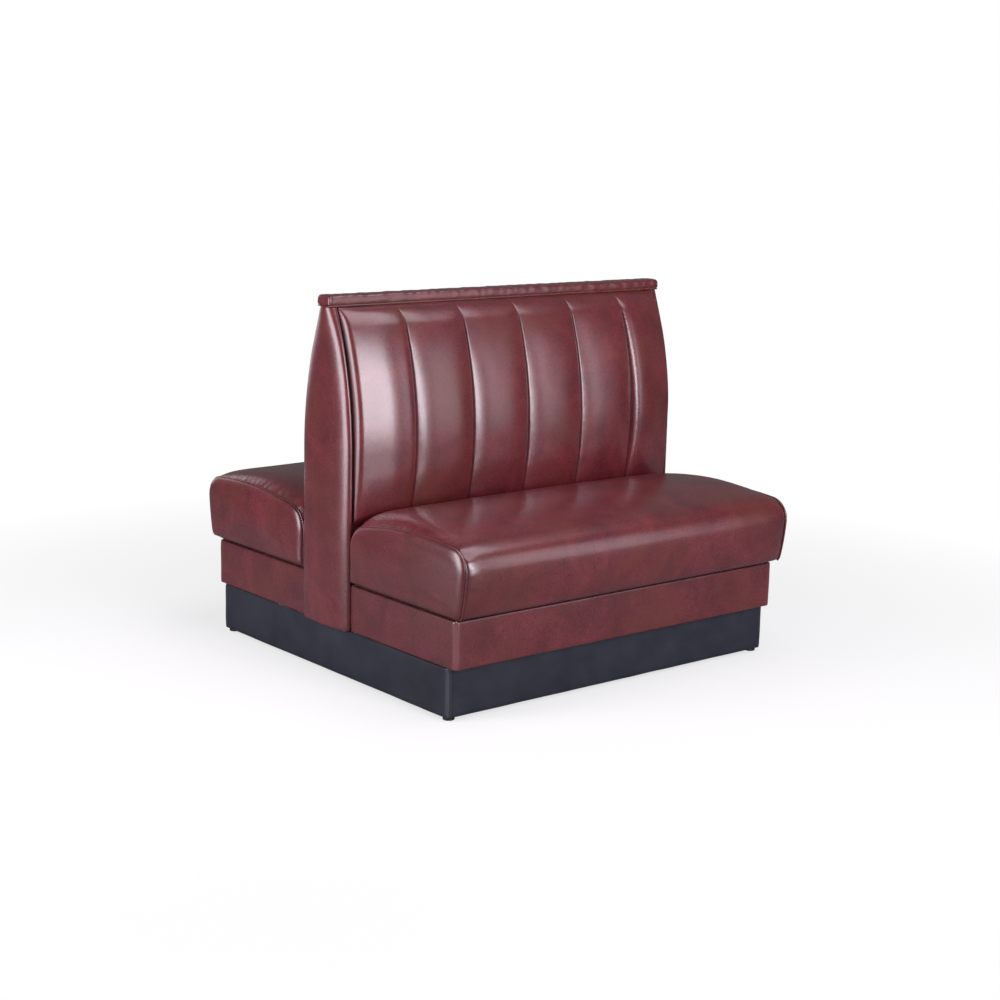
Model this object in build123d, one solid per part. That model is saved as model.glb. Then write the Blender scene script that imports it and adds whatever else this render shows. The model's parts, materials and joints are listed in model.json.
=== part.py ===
from build123d import *
import os
from math import cos, pi, sin, sqrt

os.makedirs("parts", exist_ok=True)

# Double restaurant booth, two seats back to back. X runs along the seats, the front seat faces -Y,
# and the origin is on the floor under the middle. The rear half mirrors the front half.
# All sizes are in millimetres.

# Overall sizes
booth_length = 1191.0
box_depth = 1157.0
plinth_recess = 29.0
floor_gap = 9.0
plinth_height = 136.0
box_height = 132.0
seat_gap = 11.0
back_height = 891.0

# Boards, covers and clearances
board = 18.0
plinth_skin = 3.0
apron_skin = 4.0
seating_gap = 0.3
cut_overrun = 5.0

# Plinth
post_size = 38.0
plinth_hem = 14.0
plinth_corner_radius = 6.0

# Seat boxes
apron_corner_radius = 12.0
ledger_depth = 45.0
ledger_rise = 43.0
end_rail_gap = 2.5
corner_block_leg = 60.0
corner_block_rise = 24.0

# Back, its half depths measured from the middle plane and its heights from the plinth
waist_half_depth = 106.5
top_half_depth = 27.5
waist_rise = 485.0
rib_inset = 10.0
panel_thickness = 3.0
rib_count = 3
sill_height = 90.0
waist_rail_height = 60.0
end_board_thickness = 12.0
end_board_inset = 8.0
end_proud = 21.5
end_edge_radius = 16.0
welt_radius = 3.0

# Channelled inside back, how far its seams swell beyond the outline and its channels beyond them
channel_count = 6
edge_channel_loss = 21.0
back_edge_inset = 1.0
shoulder_drop = 51.0
shoulder_swell = 47.0
shoulder_rise = 3.0
bulge_above_waist = 35.0
bulge_swell = 42.5
bulge_rise = 13.0
foot_swell = 20.5
foot_rise = 7.0
side_inset = 0.5
heel_inset = 3.0
heel_rise = 107.0
tuck_clearance = 2.0
side_welt_gap = 0.5

# Cap
cap_half_depth = 30.0
cap_overhang = 22.5
cap_height = 27.0
cap_board_thickness = 15.0
cap_board_half_depth = 25.0
cap_edge_radius = 8.0
cap_top_radius = 7.0
cap_welt_radius = 2.0

# Seat cushion: depths from its rear foot, overhangs beyond the box front and heights over its
# lower edge, at the sewn ends and at mid length
seat_overlength = 2.5
seat_rear_gap = 12.5
seat_rear_swell_end = 1.0
seat_rear_swell_middle = 3.0
seat_rear_height_end = 97.0
seat_rear_height_middle = 126.0
seat_roll_depth = 52.0
seat_roll_height_end = 165.0
seat_roll_height_middle = 206.0
seat_crown_depth_end = 290.0
seat_crown_depth_middle = 221.0
seat_crown_height_end = 190.0
seat_crown_height_middle = 224.0
seat_brow_overhang_end = -8.0
seat_brow_overhang_middle = -2.0
seat_brow_height_end = 182.5
seat_brow_height_middle = 198.0
seat_front_overhang_end = 43.0
seat_front_overhang_middle = 58.0
seat_front_height_end = 122.0
seat_front_height_middle = 125.0
seat_chin_overhang_end = 20.0
seat_chin_overhang_middle = 42.0
seat_chin_height = 15.0
seat_under_overhang_end = 14.5
seat_under_overhang_middle = 28.0
seat_end_crown = 15.0
seat_neck_ease = 1.4
bottom_welt_turn = 4.5

# Seat deck
deck_rail = 20.0
deck_height = 60.0
deck_end_inset = 10.5
deck_front_inset = 4.5
deck_rear_inset = 7.0
web_thickness = 2.0
web_width = 50.0
long_web_count = 3
cross_web_count = 7
dust_cloth = 0.6
cleat_length = 120.0
cleat_depth = 30.0
cleat_drop = 17.0
cleat_height = 50.0
cleat_clearance = 0.7

# Glides, screws and bolts, their round forms drawn with flat sides
rod_sides = 8
head_sides = 6
cord_sides = 6
edge_steps = 3
foot_sides = 12
glide_radius = 16.0
glide_neck_radius = 8.0
glide_pad_height = 6.0
glide_chamfer = 1.0
stem_radius = 4.0
stem_length = 36.0
stem_clearance = 0.05
stem_run = 20.0
insert_radius = 5.25
insert_length = 14.0
insert_flange_radius = 11.0
insert_flange = 1.5
screw_radius = 2.5
screw_head_radius = 4.5
screw_head = 3.0
screw_bite = 14.0
screw_count = 5
bolt_radius = 4.0
bolt_head_radius = 6.5
bolt_head = 5.3
bolt_bite = 10.0

# Places that follow from the sizes above
half_length = booth_length / 2
plinth_depth = box_depth - 2 * plinth_recess
plinth_top = floor_gap + plinth_height
box_top = plinth_top + box_height
seat_bottom = box_top + seat_gap
back_top = plinth_top + back_height
waist_height = plinth_top + waist_rise
back_taper = waist_half_depth - top_half_depth
shoulder_radius = ((back_top - waist_height) ** 2 + back_taper**2) / (2 * back_taper)
rib_half_depth = waist_half_depth - rib_inset
rib_pitch = (booth_length - board) / (rib_count + 1)
panel_inset = rib_inset - panel_thickness
box_front = box_depth / 2
box_rear = waist_half_depth + end_rail_gap
deck_bottom = box_top + seating_gap + dust_cloth
web_top = deck_bottom + deck_height + 2 * web_thickness
cushion_side = half_length - 2 * welt_radius - side_welt_gap
channel_pitch = 2 * (cushion_side + edge_channel_loss) / channel_count
shoulder_height = back_top - shoulder_drop
bulge_height = waist_height + bulge_above_waist
heel_height = seat_bottom + heel_rise
cap_bottom = back_top + 2 * cap_welt_radius
cap_end = half_length + cap_overhang
seat_side = half_length + seat_overlength - welt_radius
seat_rear_foot = waist_half_depth + seat_rear_gap
deck_end = half_length - deck_end_inset
deck_front = box_front - deck_front_inset
deck_rear = seat_rear_foot + deck_rear_inset

# Shares of a length along which a form is shaped
crown_fullness_shares = (0.0, 0.56, 0.89, 1.0, 0.89, 0.56, 0.0)
crown_place_shares = (-1.0, -0.95, -0.8, 0.0, 0.8, 0.95, 1.0)
end_panel_size_shares = (1.0, 0.95, 0.8)
end_panel_rise_shares = (0.0, 0.65, 1.0)
channel_place_shares = (0.0, 0.2, 0.5, 0.8)
edge_place_shares = (0.6, 0.25, 0.06, 0.0)
reach_shares = (0.0, 0.25, 0.4, 0.5, 0.6, 0.75, 1.0)


def block(low, high):
    """Rectangular block between two opposite corners."""
    centre = [(a + b) / 2 for a, b in zip(low, high)]
    size = [b - a for a, b in zip(low, high)]
    return Pos(*centre) * Box(*size)


def rod(radius, start, length, direction, sides=rod_sides):
    """Many-sided bar from a start point along a direction."""
    plane = Plane(origin=start, z_dir=direction)
    return extrude(plane * RegularPolygon(radius, sides, major_radius=False), amount=length)


def cord_section(start, radius):
    """Many-sided section of a welt with a flat on each side and corners between them."""
    return start * Rot(0, 0, 180 / cord_sides) * RegularPolygon(radius, cord_sides, major_radius=False)


def cord_reach(radius):
    """Distance from the middle of a welt to its corners."""
    return radius / cos(pi / cord_sides)


def welt_loop(end, front, rear, corner, height, radius):
    """Welt lying level round a rectangle, its corners cut off."""
    upper = [(corner - end, -rear), (end - corner, -rear)]
    right = [(end, -rear - corner), (end, corner - front)]
    lower = [(end - corner, -front), (corner - end, -front)]
    left = [(-end, corner - front), (-end, -rear - corner)]
    path = Pos(0, 0, height) * Polyline(*lower, *left, *upper, *right, close=True)
    start = Plane(origin=(0, -front, height), z_dir=(-1, 0, 0))
    return sweep(cord_section(start, radius), path=path, transition=Transition.RIGHT)


def rounded_steps(radius):
    """How far an edge is drawn in and how far it stands out, in steps round a quarter circle."""
    angles = [step * pi / 2 / edge_steps for step in range(edge_steps + 1)]
    return [(radius * (1 - cos(angle)), radius * sin(angle)) for angle in angles]


def both_ends(piece):
    """A piece and its copy at the other end of the booth."""
    return [piece, mirror(piece, about=Plane.YZ)]


def rear_of(piece):
    """The rear copy of a front piece."""
    return mirror(piece, about=Plane.XZ)


def four_corners(piece):
    """A corner piece and its three copies."""
    return both_ends(piece) + both_ends(rear_of(piece))


def save(name, pieces):
    """Write one node, a single solid or a group of separate solids."""
    group = pieces if isinstance(pieces, list) else [pieces]
    solids = [solid for piece in group for solid in piece.solids()]
    shape = solids[0] if len(solids) == 1 else Compound(children=solids)
    export_step(shape, f"parts/{name}.step")


# Back outline


def half_depth(height, inset):
    """Distance from the middle plane to the back's outline at a height, drawn in by an inset."""
    rise = max(height - waist_height, 0.0)
    return waist_half_depth - shoulder_radius + sqrt((shoulder_radius - inset) ** 2 - rise**2)


def back_outline(inset, bottom, top):
    """Upright sides and rounded shoulders of the back, seen from its end."""
    waist = half_depth(waist_height, inset)
    middle = (waist_height + top) / 2
    shoulder = half_depth(middle, inset)
    crest = half_depth(top, inset)
    front = [
        Line((-waist, bottom), (-waist, waist_height)),
        ThreePointArc((-waist, waist_height), (-shoulder, middle), (-crest, top)),
    ]
    rear = [
        ThreePointArc((crest, top), (shoulder, middle), (waist, waist_height)),
        Line((waist, waist_height), (waist, bottom)),
    ]
    closing = [Line((-crest, top), (crest, top)), Line((waist, bottom), (-waist, bottom))]
    return make_face(Curve() + front + rear + closing)


def back_slice(inset, bottom, top, start, thickness):
    """Slab of the back's outline from one X place towards +X."""
    return extrude(Plane.YZ.offset(start) * back_outline(inset, bottom, top), amount=thickness)


# Plinth


def plinth():
    """Rails on edge between corner posts, cross rails under the back and the wrapped vinyl cover."""
    end = half_length - plinth_skin
    front = plinth_depth / 2 - plinth_skin
    bottom = floor_gap + plinth_skin
    inner_end = end - post_size
    front_rail = block((-inner_end, -front, bottom), (inner_end, board - front, plinth_top))
    left_rail = block((-end, post_size - front, bottom), (board - end, front - post_size, plinth_top))
    cross_end = end - board
    cross = block((-cross_end, -rib_half_depth, bottom), (cross_end, board - rib_half_depth, plinth_top))
    post = block((-end, -front, bottom), (post_size - end, post_size - front, plinth_top))
    place = (post_size / 2 - end, post_size / 2 - front, bottom)
    insert = rod(insert_radius, place, insert_length, (0, 0, 1))
    insert += rod(insert_flange_radius, place, insert_flange, (0, 0, 1))
    bore = rod(stem_radius + stem_clearance, place, stem_length + stem_run, (0, 0, 1))
    post -= insert + bore
    insert -= bore
    save("plinth_front_rail", front_rail)
    save("plinth_rear_rail", rear_of(front_rail))
    save("plinth_left_rail", left_rail)
    save("plinth_right_rail", mirror(left_rail, about=Plane.YZ))
    save("plinth_cross_rails", [cross, rear_of(cross)])
    save("plinth_corner_posts", four_corners(post))
    save("glide_inserts", four_corners(insert))
    save("plinth_cover", plinth_cover(end, front, bottom))
    save_glides(place)


def plinth_cover(end, front, bottom):
    """Vinyl wrapped round the rails, with a hem turned under them."""
    outline = RectangleRounded(booth_length, plinth_depth, plinth_corner_radius)
    cover = extrude(Pos(0, 0, floor_gap) * outline, amount=plinth_height)
    cover -= block((-end, -front, bottom), (end, front, plinth_top + cut_overrun))
    hem_end = end - plinth_hem
    hem_front = front - plinth_hem
    return cover - block((-hem_end, -hem_front, 0), (hem_end, hem_front, bottom))


def save_glides(place):
    """Levelling glides, a moulded foot on a threaded stem at each corner."""
    x, y, _ = place
    neck_top = floor_gap - seating_gap
    foot = rod(glide_radius, (x, y, 0), glide_pad_height, (0, 0, 1), foot_sides)
    rims = foot.faces().sort_by(Axis.Z)[-1].edges() + foot.faces().sort_by(Axis.Z)[0].edges()
    foot = chamfer(rims, glide_chamfer)
    neck_height = neck_top - glide_pad_height
    foot += rod(glide_neck_radius, (x, y, glide_pad_height), neck_height, (0, 0, 1), head_sides)
    foot += rod(stem_radius, (x, y, neck_top), stem_length, (0, 0, 1))
    left_front, right_front, left_rear, right_rear = four_corners(foot)
    save("glide_front_left", left_front)
    save("glide_front_right", right_front)
    save("glide_rear_left", left_rear)
    save("glide_rear_right", right_rear)


# Seat boxes


def corner_block(corner, along, across):
    """Three-cornered glue block standing in an inner corner of the box."""
    bottom = plinth_top + corner_block_rise
    x, y = corner
    corner_points = [(x, y), (x + along * corner_block_leg, y), (x, y + across * corner_block_leg)]
    face = make_face(Polyline(*corner_points, close=True))
    return extrude(Pos(0, 0, bottom) * face, amount=box_top - board - bottom, dir=(0, 0, 1))


def apron_cover():
    """Vinyl over thin padding round three sides of the box, turned under the front rail."""
    length = half_length - apron_skin
    front = box_front - apron_skin
    outer = block((-half_length, -box_front, plinth_top), (half_length, -box_rear, box_top))
    uprights = outer.edges().filter_by(Axis.Z).group_by(Axis.Y)[0]
    outer = fillet(uprights, apron_corner_radius)
    low = (-length, -front, plinth_top - cut_overrun)
    cover = outer - block(low, (length, cut_overrun - box_rear, box_top + cut_overrun))
    fold = block((-length, -front, plinth_top), (length, board - front, plinth_top + apron_skin))
    return cover + fold


def seat_box(side, turn):
    """One seat box: rails, ledger on the back frame, corner blocks, bolts and the apron cover."""
    length = half_length - apron_skin
    front = box_front - apron_skin
    inner_end = length - board
    inner_front = front - board
    ledger_front = rib_half_depth + ledger_depth
    rail_bottom = plinth_top + apron_skin
    front_rail = block((-length, -front, rail_bottom), (length, -inner_front, box_top))
    end_rail = block((-length, -inner_front, plinth_top), (-inner_end, -box_rear, box_top))
    ledger_low = (-inner_end, -ledger_front, plinth_top + ledger_rise)
    ledger = block(ledger_low, (inner_end, -rib_half_depth, box_top))
    bolts = box_bolts(ledger_front)
    for bolt in bolts:
        ledger -= bolt
    blocks = both_ends(corner_block((-inner_end, -inner_front), 1, 1))
    blocks += both_ends(corner_block((-inner_end, -ledger_front), 1, -1))
    save(f"{side}_box_rail", turn(front_rail))
    save(f"{side}_box_end_rails", [turn(rail) for rail in both_ends(end_rail)])
    save(f"{side}_box_ledger", turn(ledger))
    save(f"{side}_box_corner_blocks", [turn(piece) for piece in blocks])
    save(f"{side}_apron_cover", turn(apron_cover()))


def box_bolts(ledger_front):
    """Bolts that pull the ledger against the sill rail of the back."""
    height = plinth_top + (ledger_rise + sill_height) / 2
    bolts = []
    for bay in (-1, 1):
        place = (bay * rib_pitch * (rib_count / 2), -ledger_front, height)
        shank = rod(bolt_radius, place, ledger_depth + bolt_bite, (0, 1, 0))
        bolts.append(shank + rod(bolt_head_radius, place, bolt_head, (0, -1, 0), head_sides))
    return bolts


# Back frame


def back_frame():
    """Ribs, rails and bent panels that carry the inside backs."""
    inner = half_length - board
    left_rib = back_slice(rib_inset, plinth_top, back_top, -half_length, board)
    sill_top = plinth_top + sill_height
    sill = block((-inner, -rib_half_depth, plinth_top), (inner, board - rib_half_depth, sill_top))
    waist_low = (-inner, -rib_half_depth, waist_height - waist_rail_height)
    waist = block(waist_low, (inner, board - rib_half_depth, waist_height))
    bolts = box_bolts(rib_half_depth + ledger_depth)
    for bolt in bolts:
        sill -= bolt
    top_half = half_depth(back_top, rib_inset)
    top_rail = block((-inner, -top_half, back_top - board), (inner, top_half, back_top))
    screws = cap_screws()
    for screw in screws:
        top_rail -= screw
    notches = [sill, rear_of(sill), waist, rear_of(waist)]
    top_notch_low = (-inner, -waist_half_depth, back_top - board)
    notches.append(block(top_notch_low, (inner, waist_half_depth, back_top)))
    ribs = []
    for index in range(rib_count):
        place = (index - (rib_count - 1) / 2) * rib_pitch
        rib = back_slice(rib_inset, plinth_top, back_top, place - board / 2, board)
        for notch in notches:
            rib -= notch
        ribs.append(rib)
    save("back_left_rib", left_rib)
    save("back_right_rib", mirror(left_rib, about=Plane.YZ))
    save("back_middle_ribs", ribs)
    save("back_sill_rails", [sill, rear_of(sill)])
    save("back_waist_rails", [waist, rear_of(waist)])
    save("back_top_rail", top_rail)
    save("box_bolts", bolts + [rear_of(bolt) for bolt in bolts])
    save("cap_screws", screws)
    save_back_panels()


def save_back_panels():
    """Thin bent panels over the front and rear edges of the ribs."""
    bottom = box_top + seating_gap
    sheet = back_slice(panel_inset, bottom, back_top, -half_length, booth_length)
    sheet -= back_slice(rib_inset, bottom, back_top, -half_length, booth_length)
    front, rear = sheet.solids().sort_by(Axis.Y)
    save("front_back_panel", front)
    save("rear_back_panel", rear)


# Channelled inside back


def tuck_height(depth):
    """Height of the sloping underside of the inside back, which clears the seat as it lifts off."""
    corner = seat_outline(1.0, 0.0)[1]
    reach = max(corner.position_at(share).Y + corner.position_at(share).X for share in reach_shares)
    return depth + reach + tuck_clearance * sqrt(2)


def seam_depths():
    """Half depths of a seam line at the shoulder, the bulge and the foot of the inside back."""
    shoulder = half_depth(shoulder_height, 0) + shoulder_swell
    return (shoulder, waist_half_depth + bulge_swell, waist_half_depth + foot_swell)


def crest_depths(share):
    """Half depths part way up from a seam to the crest of a channel."""
    rises = (shoulder_rise, bulge_rise, foot_rise)
    return tuple(low + share * rise for low, rise in zip(seam_depths(), rises))


def cushion_section(place, shoulder, bulge, foot):
    """Upright section through the inside back: its rear follows the panel, its front swells."""
    rear_waist = half_depth(waist_height, panel_inset)
    rear_middle = (waist_height + back_top) / 2
    rear_shoulder = half_depth(rear_middle, panel_inset)
    rear_top = half_depth(back_top, panel_inset)
    front_top = top_half_depth - back_edge_inset
    heel = waist_half_depth - heel_inset
    lower = TangentArc((-bulge, bulge_height), (-foot, tuck_height(foot)), tangent=(0, -1))
    upper = TangentArc((-bulge, bulge_height), (-shoulder, shoulder_height), tangent=(0, 1))
    roll = TangentArc((-shoulder, shoulder_height), (-front_top, back_top), tangent=upper % 1)
    rear = ThreePointArc((-rear_top, back_top), (-rear_shoulder, rear_middle), (-rear_waist, waist_height))
    edges = [
        lower,
        upper,
        roll,
        Line((-front_top, back_top), (-rear_top, back_top)),
        rear,
        Line((-rear_waist, waist_height), (-rear_waist, heel_height)),
        Line((-rear_waist, heel_height), (-heel, heel_height)),
        Line((-heel, heel_height), (-heel, tuck_height(heel))),
        Line((-heel, tuck_height(heel)), (-foot, tuck_height(foot))),
    ]
    return Plane.YZ.offset(place) * make_face(Curve() + edges)


def edge_stations(seam_place):
    """Stations of the outer channel beyond its seam, rounded over to the welt at the side."""
    heights = (shoulder_height, bulge_height, waist_height)
    side = [half_depth(height, side_inset) for height in heights]
    width = cushion_side - seam_place
    stations = []
    for share in edge_place_shares:
        away = 2 * share - 1
        if away < 0:
            swell = sqrt(1 - away**2)
            depths = [low + swell * (high - low) for low, high in zip(side, crest_depths(1.0))]
        else:
            depths = crest_depths(1 - away**2)
        stations.append((cushion_side - share * width, depths))
    return stations


def inside_back():
    """Foam and sewn cover of one inside back, with upright channels side by side."""
    last_seam = (channel_count / 2 - 1) * channel_pitch
    right = edge_stations(last_seam)
    stations = [(-place, depths) for place, depths in reversed(right)]
    for index in range(1, channel_count - 1):
        start = (index - channel_count / 2) * channel_pitch
        for share in channel_place_shares:
            stations.append((start + share * channel_pitch, crest_depths(4 * share * (1 - share))))
    stations.append((last_seam, seam_depths()))
    stations += right
    return loft([cushion_section(place, *depths) for place, depths in stations], ruled=True)


# Padded ends, welts and cap


def padded_end():
    """End board and the padded cover wrapped over it, proud of the seat boxes."""
    face = -half_length - end_proud
    board_start = -half_length - end_board_thickness
    end_board = back_slice(end_board_inset, plinth_top, back_top, board_start, end_board_thickness)
    pad = back_slice(0, plinth_top, back_top, face + end_edge_radius, end_proud - end_edge_radius)
    rounds = []
    for inset, out in rounded_steps(end_edge_radius):
        outline = back_outline(inset, plinth_top, back_top)
        rounds.append(Plane.YZ.offset(face + end_edge_radius - out) * outline)
    pad += loft(rounds, ruled=True)
    return end_board, pad - end_board


def side_welt():
    """Round self-welt down the front edge of a padded end, from the cap to the plinth."""
    welt_inset = panel_inset - cord_reach(welt_radius)
    waist = half_depth(waist_height, welt_inset)
    middle = (waist_height + back_top) / 2
    shoulder = (-half_depth(middle, welt_inset), middle)
    path = Line((-waist, plinth_top), (-waist, waist_height))
    path += ThreePointArc((-waist, waist_height), shoulder, (-half_depth(back_top, welt_inset), back_top))
    place = welt_radius - half_length
    section = cord_section(Pos(place, -waist, plinth_top), welt_radius)
    welt = sweep(section, path=Plane.YZ.offset(place) * path)
    return welt & block((-half_length, -box_front, plinth_top), (half_length, 0, back_top))


def cap_screws():
    """Countersunk screws through the cap board into the top rail."""
    top = back_top + cap_board_thickness
    screws = []
    for index in range(screw_count):
        place = ((index - (screw_count - 1) / 2) * booth_length / screw_count, 0, top)
        shank = rod(screw_radius, place, cap_board_thickness + screw_bite, (0, 0, -1))
        screws.append(shank + rod(screw_head_radius, place, screw_head, (0, 0, -1)))
    return screws


def cap():
    """Padded top cap on its board, with a thin welt round the lower edge."""
    board_end = cap_end - cap_edge_radius - 2 * cap_welt_radius
    board_low = (-board_end, -cap_board_half_depth, back_top)
    cap_board = block(board_low, (board_end, cap_board_half_depth, back_top + cap_board_thickness))
    pad_low = (-cap_end, -cap_half_depth, cap_bottom)
    pad = block(pad_low, (cap_end, cap_half_depth, cap_bottom + cap_height - cap_top_radius))
    pad = fillet(pad.edges().filter_by(Axis.Z), cap_edge_radius)
    rounds = []
    for inset, out in rounded_steps(cap_top_radius):
        size = (2 * (cap_end - inset), 2 * (cap_half_depth - inset))
        height = cap_bottom + cap_height - cap_top_radius + out
        rounds.append(Pos(0, 0, height) * RectangleRounded(*size, cap_edge_radius - inset))
    pad += loft(rounds, ruled=True)
    pad -= cap_board
    for screw in cap_screws():
        cap_board -= screw
    depth = cap_board_half_depth + cord_reach(cap_welt_radius)
    end = cap_end - 2 * cap_welt_radius
    height = back_top + cap_welt_radius
    welt = welt_loop(end, depth, -depth, cap_edge_radius / 2, height, cap_welt_radius)
    return cap_board, pad, welt


# Seat cushion


def seat_outline(fullness, inset, share=1.0):
    """Outline of the cushion seen from its end, from sewn end (0) to mid length (1), as arcs that
    run into each other. An inset draws it in, and a share below 1 shrinks it about its middle."""

    def between(end, middle):
        return end + fullness * (middle - end)

    rear = seat_rear_foot - between(seat_rear_swell_end, seat_rear_swell_middle) + inset
    rear_height = between(seat_rear_height_end, seat_rear_height_middle)
    roll = seat_rear_foot + seat_roll_depth
    roll_height = between(seat_roll_height_end, seat_roll_height_middle) - inset
    crown = seat_rear_foot + between(seat_crown_depth_end, seat_crown_depth_middle)
    crown_height = between(seat_crown_height_end, seat_crown_height_middle) - inset
    brow = box_front + between(seat_brow_overhang_end, seat_brow_overhang_middle)
    brow_height = between(seat_brow_height_end, seat_brow_height_middle) - inset
    front = box_front + between(seat_front_overhang_end, seat_front_overhang_middle) - inset
    front_height = between(seat_front_height_end, seat_front_height_middle)
    chin = box_front + between(seat_chin_overhang_end, seat_chin_overhang_middle) - inset
    under = box_front + between(seat_under_overhang_end, seat_under_overhang_middle) - inset
    centre_y = -(seat_rear_foot + box_front) / 2
    centre_z = seat_bottom + seat_crown_height_end / 2

    def place(depth, rise):
        height = seat_bottom + rise
        return (centre_y + share * (-depth - centre_y), centre_z + share * (height - centre_z))

    top = ThreePointArc(place(roll, roll_height), place(crown, crown_height), place(brow, brow_height))
    rear_corner = TangentArc(top @ 0, place(rear, rear_height), tangent=-(top % 0))
    rear_face = TangentArc(rear_corner @ 1, place(seat_rear_foot + inset, 0), tangent=rear_corner % 1)
    front_corner = TangentArc(top @ 1, place(front, front_height), tangent=top % 1)
    front_face = TangentArc(front_corner @ 1, place(chin, seat_chin_height), tangent=front_corner % 1)
    turn_under = TangentArc(front_face @ 1, place(under, 0), tangent=front_face % 1)
    return [rear_face, rear_corner, top, front_corner, front_face, turn_under]


def seat_section(place, fullness, inset=0.0, share=1.0):
    """Closed upright section of the cushion at one X place."""
    edges = seat_outline(fullness, inset, share)
    closing = Line(edges[-1] @ 1, edges[0] @ 1)
    return Plane.YZ.offset(place) * make_face(Curve() + edges + [closing])


def seat_cushion():
    """Crowned cushion with a neck for the welt and a swelling panel at each end, hollow below for
    its deck."""
    spans = zip(crown_place_shares, crown_fullness_shares)
    cushion = loft([seat_section(share * seat_side, fullness) for share, fullness in spans], ruled=True)
    panel_start = seat_side + 2 * welt_radius
    neck_section = seat_section(seat_side, 0.0, welt_radius + seat_neck_ease)
    neck = extrude(neck_section, amount=panel_start - seat_side, dir=(1, 0, 0))
    shapes = zip(end_panel_rise_shares, end_panel_size_shares)
    panel = [seat_section(panel_start + rise * seat_end_crown, 0.0, 0.0, size) for rise, size in shapes]
    for piece in both_ends(neck) + both_ends(loft(panel, ruled=True)):
        cushion += piece
    return cushion - block((-deck_end, -deck_front, deck_bottom), (deck_end, -deck_rear, web_top))


def seat_end_welt():
    """Round self-welt round the sewn end of the cushion."""
    edges = seat_outline(0.0, 0.0)
    path = Plane.YZ.offset(seat_side + welt_radius) * (Curve() + edges)
    foot = edges[0] @ 1
    start = Plane(origin=(seat_side + welt_radius, foot.X, foot.Y), z_dir=(0, 0, 1))
    return sweep(cord_section(start, welt_radius), path=path)


def seat_bottom_welt():
    """Round welt lying round the deck under the lower edge of the cover, clear of its corners."""
    offset = cord_reach(welt_radius) + bottom_welt_turn * (1 - sqrt(0.5)) + seating_gap
    height = seat_bottom - welt_radius
    end = deck_end + offset
    return welt_loop(end, deck_front + offset, deck_rear - offset, bottom_welt_turn, height, welt_radius)


def seat_deck():
    """Deck rails with elastic webbing laid both ways across them."""
    long_top = deck_bottom + deck_height + web_thickness
    front = block((-deck_end, -deck_front, deck_bottom), (deck_end, deck_rail - deck_front, long_top))
    rear = block((-deck_end, -deck_rear - deck_rail, deck_bottom), (deck_end, -deck_rear, long_top))
    end_low = (-deck_end, deck_rail - deck_front, deck_bottom)
    end_rail = block(end_low, (deck_rail - deck_end, -deck_rear - deck_rail, deck_bottom + deck_height))
    span = deck_front - deck_rear - 2 * deck_rail
    webs = []
    for index in range(long_web_count):
        middle = -deck_rear - deck_rail - span * (index + 1) / (long_web_count + 1)
        low = (-deck_end, middle - web_width / 2, long_top - web_thickness)
        webs.append(block(low, (deck_end, middle + web_width / 2, long_top)))
    for index in range(cross_web_count):
        middle = 2 * deck_end * (index + 1) / (cross_web_count + 1) - deck_end
        low = (middle - web_width / 2, -deck_front, long_top)
        webs.append(block(low, (middle + web_width / 2, -deck_rear, web_top)))
    return [front, rear], both_ends(end_rail), webs


def seat_cleats():
    """Bevelled blocks behind the front deck rail that keep the seat from sliding forward."""
    front = deck_front - deck_rail
    inner_front = box_front - apron_skin - board
    low = deck_bottom - cleat_drop
    bevel_top = box_top + front - inner_front + cleat_clearance * sqrt(2)
    bevel_foot = front - (bevel_top - low)
    rear = front - cleat_depth
    high = low + cleat_height
    points = [(-rear, low), (-bevel_foot, low), (-front, bevel_top), (-front, high), (-rear, high)]
    start = Plane.YZ.offset((deck_end - cleat_length) / 2)
    return both_ends(extrude(start * make_face(Polyline(*points, close=True)), amount=cleat_length))


def seat_unit(side, turn):
    """One lift-off seat: deck, webbing, cushion, welts, dust cloth and cleats."""
    long_rails, end_rails, webs = seat_deck()
    cleats = seat_cleats()
    cloth_bottom = deck_bottom - dust_cloth
    cloth = block((-deck_end, -deck_front, cloth_bottom), (deck_end, -deck_rear, deck_bottom))
    for cleat in cleats:
        cloth -= cleat
    save(f"{side}_seat_long_rails", [turn(rail) for rail in long_rails])
    save(f"{side}_seat_end_rails", [turn(rail) for rail in end_rails])
    save(f"{side}_seat_webbing", [turn(web) for web in webs])
    save(f"{side}_seat_cushion", turn(seat_cushion()))
    save(f"{side}_seat_end_welts", [turn(welt) for welt in both_ends(seat_end_welt())])
    save(f"{side}_seat_bottom_welt", turn(seat_bottom_welt()))
    save(f"{side}_seat_dust_cloth", turn(cloth))
    save(f"{side}_seat_cleats", [turn(cleat) for cleat in cleats])


def front_of(piece):
    """A front piece stays where it is."""
    return piece


plinth()
seat_box("front", front_of)
seat_box("rear", rear_of)
back_frame()
cushion = inside_back()
save("front_back_cushion", cushion)
save("rear_back_cushion", rear_of(cushion))
left_board, left_pad = padded_end()
save("left_end_board", left_board)
save("right_end_board", mirror(left_board, about=Plane.YZ))
save("left_end_pad", left_pad)
save("right_end_pad", mirror(left_pad, about=Plane.YZ))
save("back_side_welts", four_corners(side_welt()))
cap_board, cap_pad, cap_welt = cap()
save("cap_board", cap_board)
save("cap_pad", cap_pad)
save("cap_welt", cap_welt)
seat_unit("front", front_of)
seat_unit("rear", rear_of)
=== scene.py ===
# %% [markdown]
# # A double restaurant booth in wine red vinyl
# Two crowned seats stand back to back on boxes, with channelled inside backs between them, padded
# ends, a top cap and a black plinth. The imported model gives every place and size. This script
# dresses it: the soft parts become stuffed vinyl, the welts round cords, and the boards real wood.

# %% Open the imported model
import cmath
import json
import math

import bpy
import bmesh
import numpy as np
from mathutils import Matrix, Vector, noise


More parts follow.
